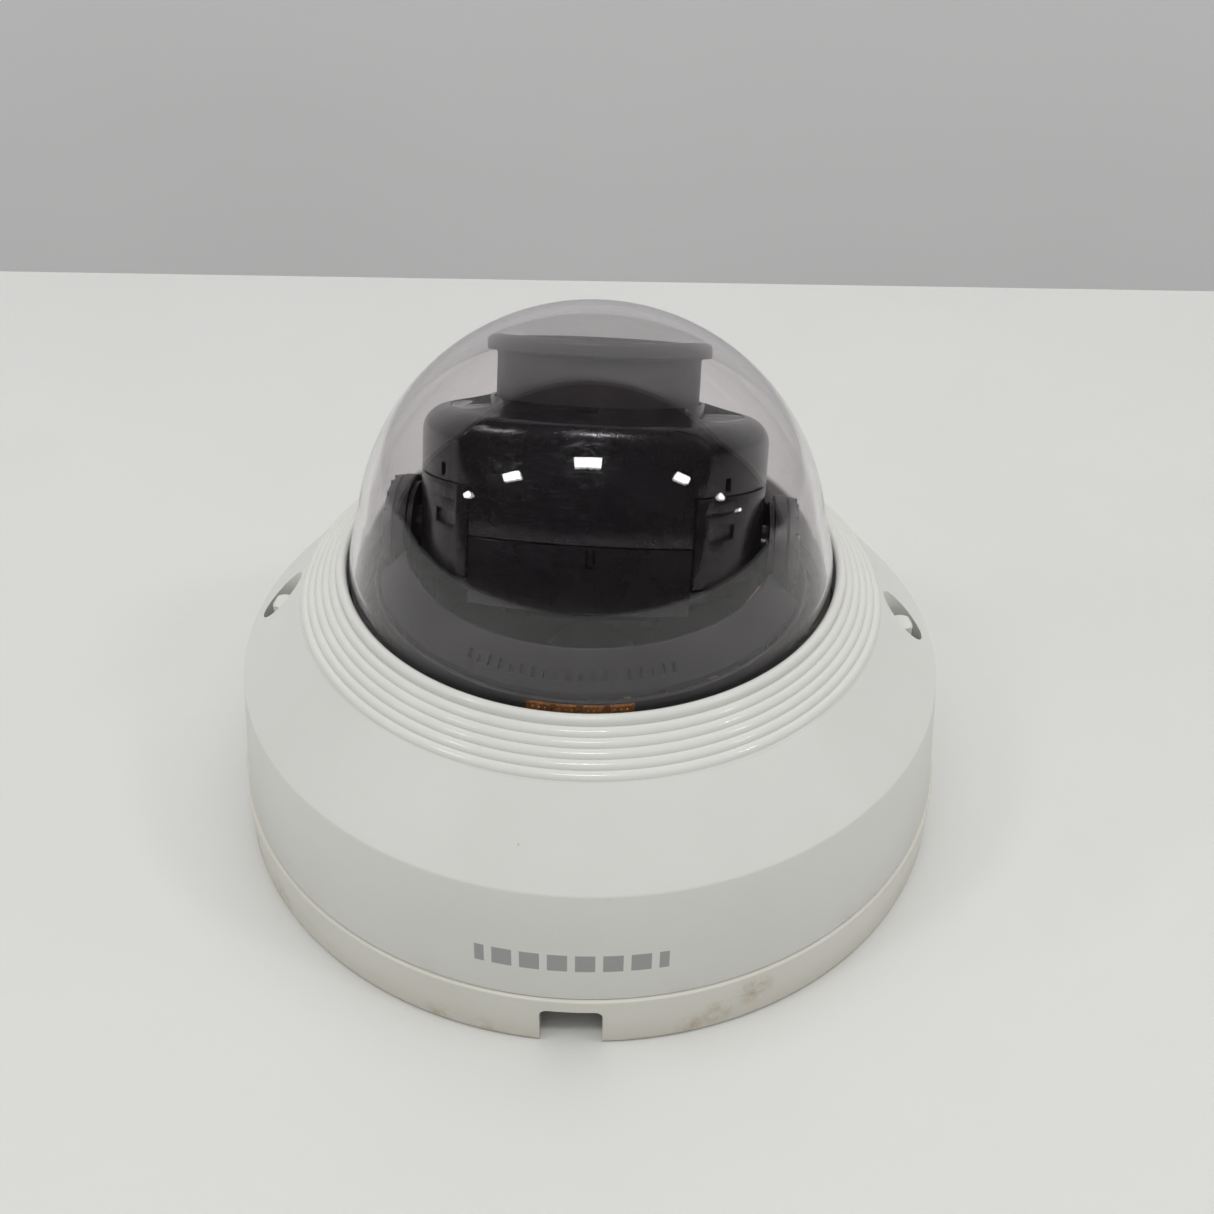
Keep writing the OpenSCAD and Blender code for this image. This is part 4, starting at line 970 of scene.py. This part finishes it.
def build_bracket():
    """The two cheeks with a stepped panel each, the ring that carries the lens, and the shafts."""
    shell = loops([(0, -3.4, 0.12), (0, -3.2, 0), (0, 3, 0), (0, CHEEK_TOP - 0.2, 0),
                   (0, CHEEK_TOP, 0.14), (1.8, CHEEK_TOP, 0), (1.8, -3.5, 0)])
    obj = finished("bracket", shell, 42)
    boolean(obj, wedge(51.5, -6, CHEEK_TOP + 2, 10), "INTERSECT")
    cut = bmesh.new()
    for s in (-1, 1):
        turn = Matrix.Rotation(math.radians(-90 + s * 49), 4, "Z")
        add_block(cut, (30.3, -3, 4.6), (33, 3, 7.2), 0.1, matrix=turn)
        add_block(cut, (30.72, -5.4, 9.1), (33, 3.2, 9.35), matrix=turn)
        add_block(cut, (30.72, -5.4, -2.3), (33, -5.1, 9.35), matrix=turn)
    boolean(obj, cut)
    soften(obj, 0.12)
    add = bmesh.new()
    for s in (-1, 1):
        add_cylinder(add, (0, 0, 0), 4, *sorted((29.8 * s, 35.2 * s)), 64, axis="X")
        for near, far, low, high in ((22, 30, -8, -6.02), (29.3, 30.5, -7.9, -3.0)):
            x0, x1 = sorted((near * s, far * s))
            add_block(add, (x0, -9, low), (x1, 9, high), 0.2)
    boolean(obj, add, "UNION")
    ring = rounded([(20, -8, 0.2), (25, -8, 0.3), (25, -6.01, 0.3), (20, -6.01, 0.2)], 3)
    boolean(obj, lathe(ring, 160), "UNION")
    obj.data.transform(MODULE)
    return piece(obj, "tilt", "module_plastic", "tilt_bracket")


def build_knobs():
    bm = bmesh.new()
    for s in (-1, 1):
        wall = rounded([(0, 35.2), (9.4, 35.2, 0.2), (9.4, 36.4, 0.35), (8.5, 36.45, 0.1),
                        (8.4, 37.2, 0.4), (4.6, 37.2, 0.2), (4.2, 36.7, 0.2), (0, 36.7)], 4)
        part = lathe(wall, 120, closed=False)
        for k in range(18):
            add_block(part, (8.25, -0.35, 35.9), (9.32, 0.35, 36.95), 0.15,
                      matrix=Matrix.Rotation(math.radians(20 * k), 4, "Z"))
        part.transform(Matrix.Rotation(s * math.pi / 2, 4, "Y"))
        merge(bm, part)
    return piece(finished("knobs", bm, 40, MODULE), "tilt", "knob_plastic", "tilt_knobs")


def build_hood():
    """The soft hood: bore with light baffles, straight neck, and a flange with a rolled lip."""
    wall = [(15.6, 21.2, 0.2), (18.1, 21.2, 0.2), (18.1, 33.1, 0.5), (19.9, 33.2, 0.35),
            (19.9, 35.7, 0.7), (18.4, 35.7, 0.5), (17.9, 35.2, 0.3), (17.3, 33.4, 0.2),
            (17.1, 33.3, 0.05), (16.9, 32.2, 0.05), (16.6, 32.1, 0.05), (16.4, 31, 0.05),
            (16.1, 30.9, 0.05), (15.6, 27.5, 0.3)]
    obj = finished("hood", lathe(rounded(wall, 5), 280), 40, MODULE)
    return piece(obj, "rotate", "hood_rubber", "lens_hood")


def build_lens():
    """The barrel's front with its stepped bore, and the domed front element."""
    wall = [(8.5, -9.6), (13, -9.6, 0.2), (13, 4.9, 0.3), (12.2, 5.0), (12.2, 13.8),
            (15.55, 13.8, 0.3), (15.55, 28.2, 0.3), (12.4, 28.2, 0.2), (12.1, 27.2, 0.05),
            (11.8, 27.1, 0.05), (11.5, 26.2, 0.05), (11.2, 26.1, 0.05), (10.9, 25.2, 0.05),
            (10.6, 25.1, 0.05), (10.4, 24.2), (10.4, 19.6), (8.5, 15), (8.5, 2.5), (6.5, 2.5),
            (6.5, -1.5), (8.5, -1.5)]
    body = finished("lens_body", lathe(rounded(wall, 3), 200), 35, MODULE)
    piece(body, "rotate", "barrel_black", "lens_barrel")
    dome = [(0, 19.8), (10.3, 19.8), (10.35, 22.1)]
    dome += [(14.2 * math.sin(t), 12.6 + 14.2 * math.cos(t))
             for t in [math.asin(10.35 / 14.2) * (1 - k / 24) for k in range(1, 25)]]
    front = finished("front_glass", lathe(dome, 160, closed=False), 30, MODULE)
    return piece(front, "rotate", "lens_glass", "front_lens_element")


build_front_cover()
build_rear_housing()
build_windows()
build_bracket()
build_knobs()
build_hood()
build_lens()


# ---------------------------------------------------------------- stage

def build_stage():
    """The pale table, whose far edge shows behind the camera, and the plain wall beyond it."""
    bm = bmesh.new()
    add_block(bm, (-1500, -1900, -40), (1500, 232, 0), 1.2, 3)
    table = finished("table", bm)
    table.matrix_world = Matrix.Rotation(math.radians(1.3), 4, "Z")
    table.data.materials.append(table_white())
    bm = bmesh.new()
    add_block(bm, (-3200, 900, -1500), (3200, 960, 2400), 4, 2)
    wall = finished("back_wall", bm)
    wall.data.materials.append(wall_grey())


build_stage()


def area_light(name, place, size, power, target=(0, 0, 0.04), colour=(1, 1, 1), glossy=True):
    """A rectangular light aimed at target, in metres. Without glossy it leaves no reflection."""
    data = bpy.data.lights.new(name, "AREA")
    data.shape = "RECTANGLE"
    data.size, data.size_y = size
    data.energy = power
    data.color = colour
    obj = bpy.data.objects.new(name, data)
    bpy.context.scene.collection.objects.link(obj)
    obj.location = place
    obj.rotation_euler = (Vector(target) - Vector(place)).to_track_quat("-Z", "Y").to_euler()
    obj.visible_glossy = glossy
    obj.visible_camera = False
    obj.visible_transmission = glossy
    return obj


CEILING_PANELS = ((-4.04, -1.2), (-1.8, -1.06), (-0.04, -0.91), (2.19, -0.83), (4.5, -0.74),
                  (7.4, -0.64))
for i, (x, y) in enumerate(CEILING_PANELS):
    light = area_light(f"ceiling_{i}", (x, y, 2.4), (0.52, 0.22), 9)
    light.rotation_euler = (0, 0, 0)
area_light("soft_top", (0.1, -0.3, 2.0), (2.6, 2.2), 21, glossy=False)
area_light("soft_left", (-1.6, -0.7, 1.0), (1.4, 1.4), 3.2, glossy=False)
area_light("soft_right", (1.6, -0.5, 1.0), (1.4, 1.4), 2.6, glossy=False)

world = bpy.data.worlds.new("room")
world.use_nodes = True
sky = world.node_tree.nodes["Background"]
sky.inputs[0].default_value = (0.86, 0.87, 0.88, 1)
sky.inputs[1].default_value = 0.27
# glossy surfaces see a dim room behind the camera
dim = world.node_tree.nodes.new("ShaderNodeBackground")
dim.inputs[0].default_value = (0.62, 0.56, 0.54, 1)
dim.inputs[1].default_value = 0.035
ray = world.node_tree.nodes.new("ShaderNodeLightPath")
either = world.node_tree.nodes.new("ShaderNodeMixShader")
world.node_tree.links.new(ray.outputs["Is Glossy Ray"], either.inputs[0])
world.node_tree.links.new(sky.outputs[0], either.inputs[1])
world.node_tree.links.new(dim.outputs[0], either.inputs[2])
world.node_tree.links.new(either.outputs[0], world.node_tree.nodes["World Output"].inputs[0])
bpy.context.scene.world = world

# the photograph's camera, as fitted to the outlines of the base, collar and bubble
camera_data = bpy.data.cameras.new("camera")
camera_data.sensor_width = 36
camera_data.lens = 43.05
camera_data.shift_x = 0.0134
camera_data.clip_start = 0.01
camera = bpy.data.objects.new("camera", camera_data)
bpy.context.scene.collection.objects.link(camera)
elevation, azimuth, distance = math.radians(37.68), math.radians(2.3), 0.27637
target = Vector((0, 0, 0.04105))
camera.location = target + distance * Vector((
    math.cos(elevation) * math.sin(azimuth), -math.cos(elevation) * math.cos(azimuth),
    math.sin(elevation)))
look = (target - camera.location).to_track_quat("-Z", "Y").to_matrix().to_4x4()
camera.matrix_world = (Matrix.Translation(camera.location) @ look
                       @ Matrix.Rotation(math.radians(0.51), 4, "Z"))
bpy.context.scene.camera = camera
bpy.context.scene.view_settings.view_transform = "Standard"
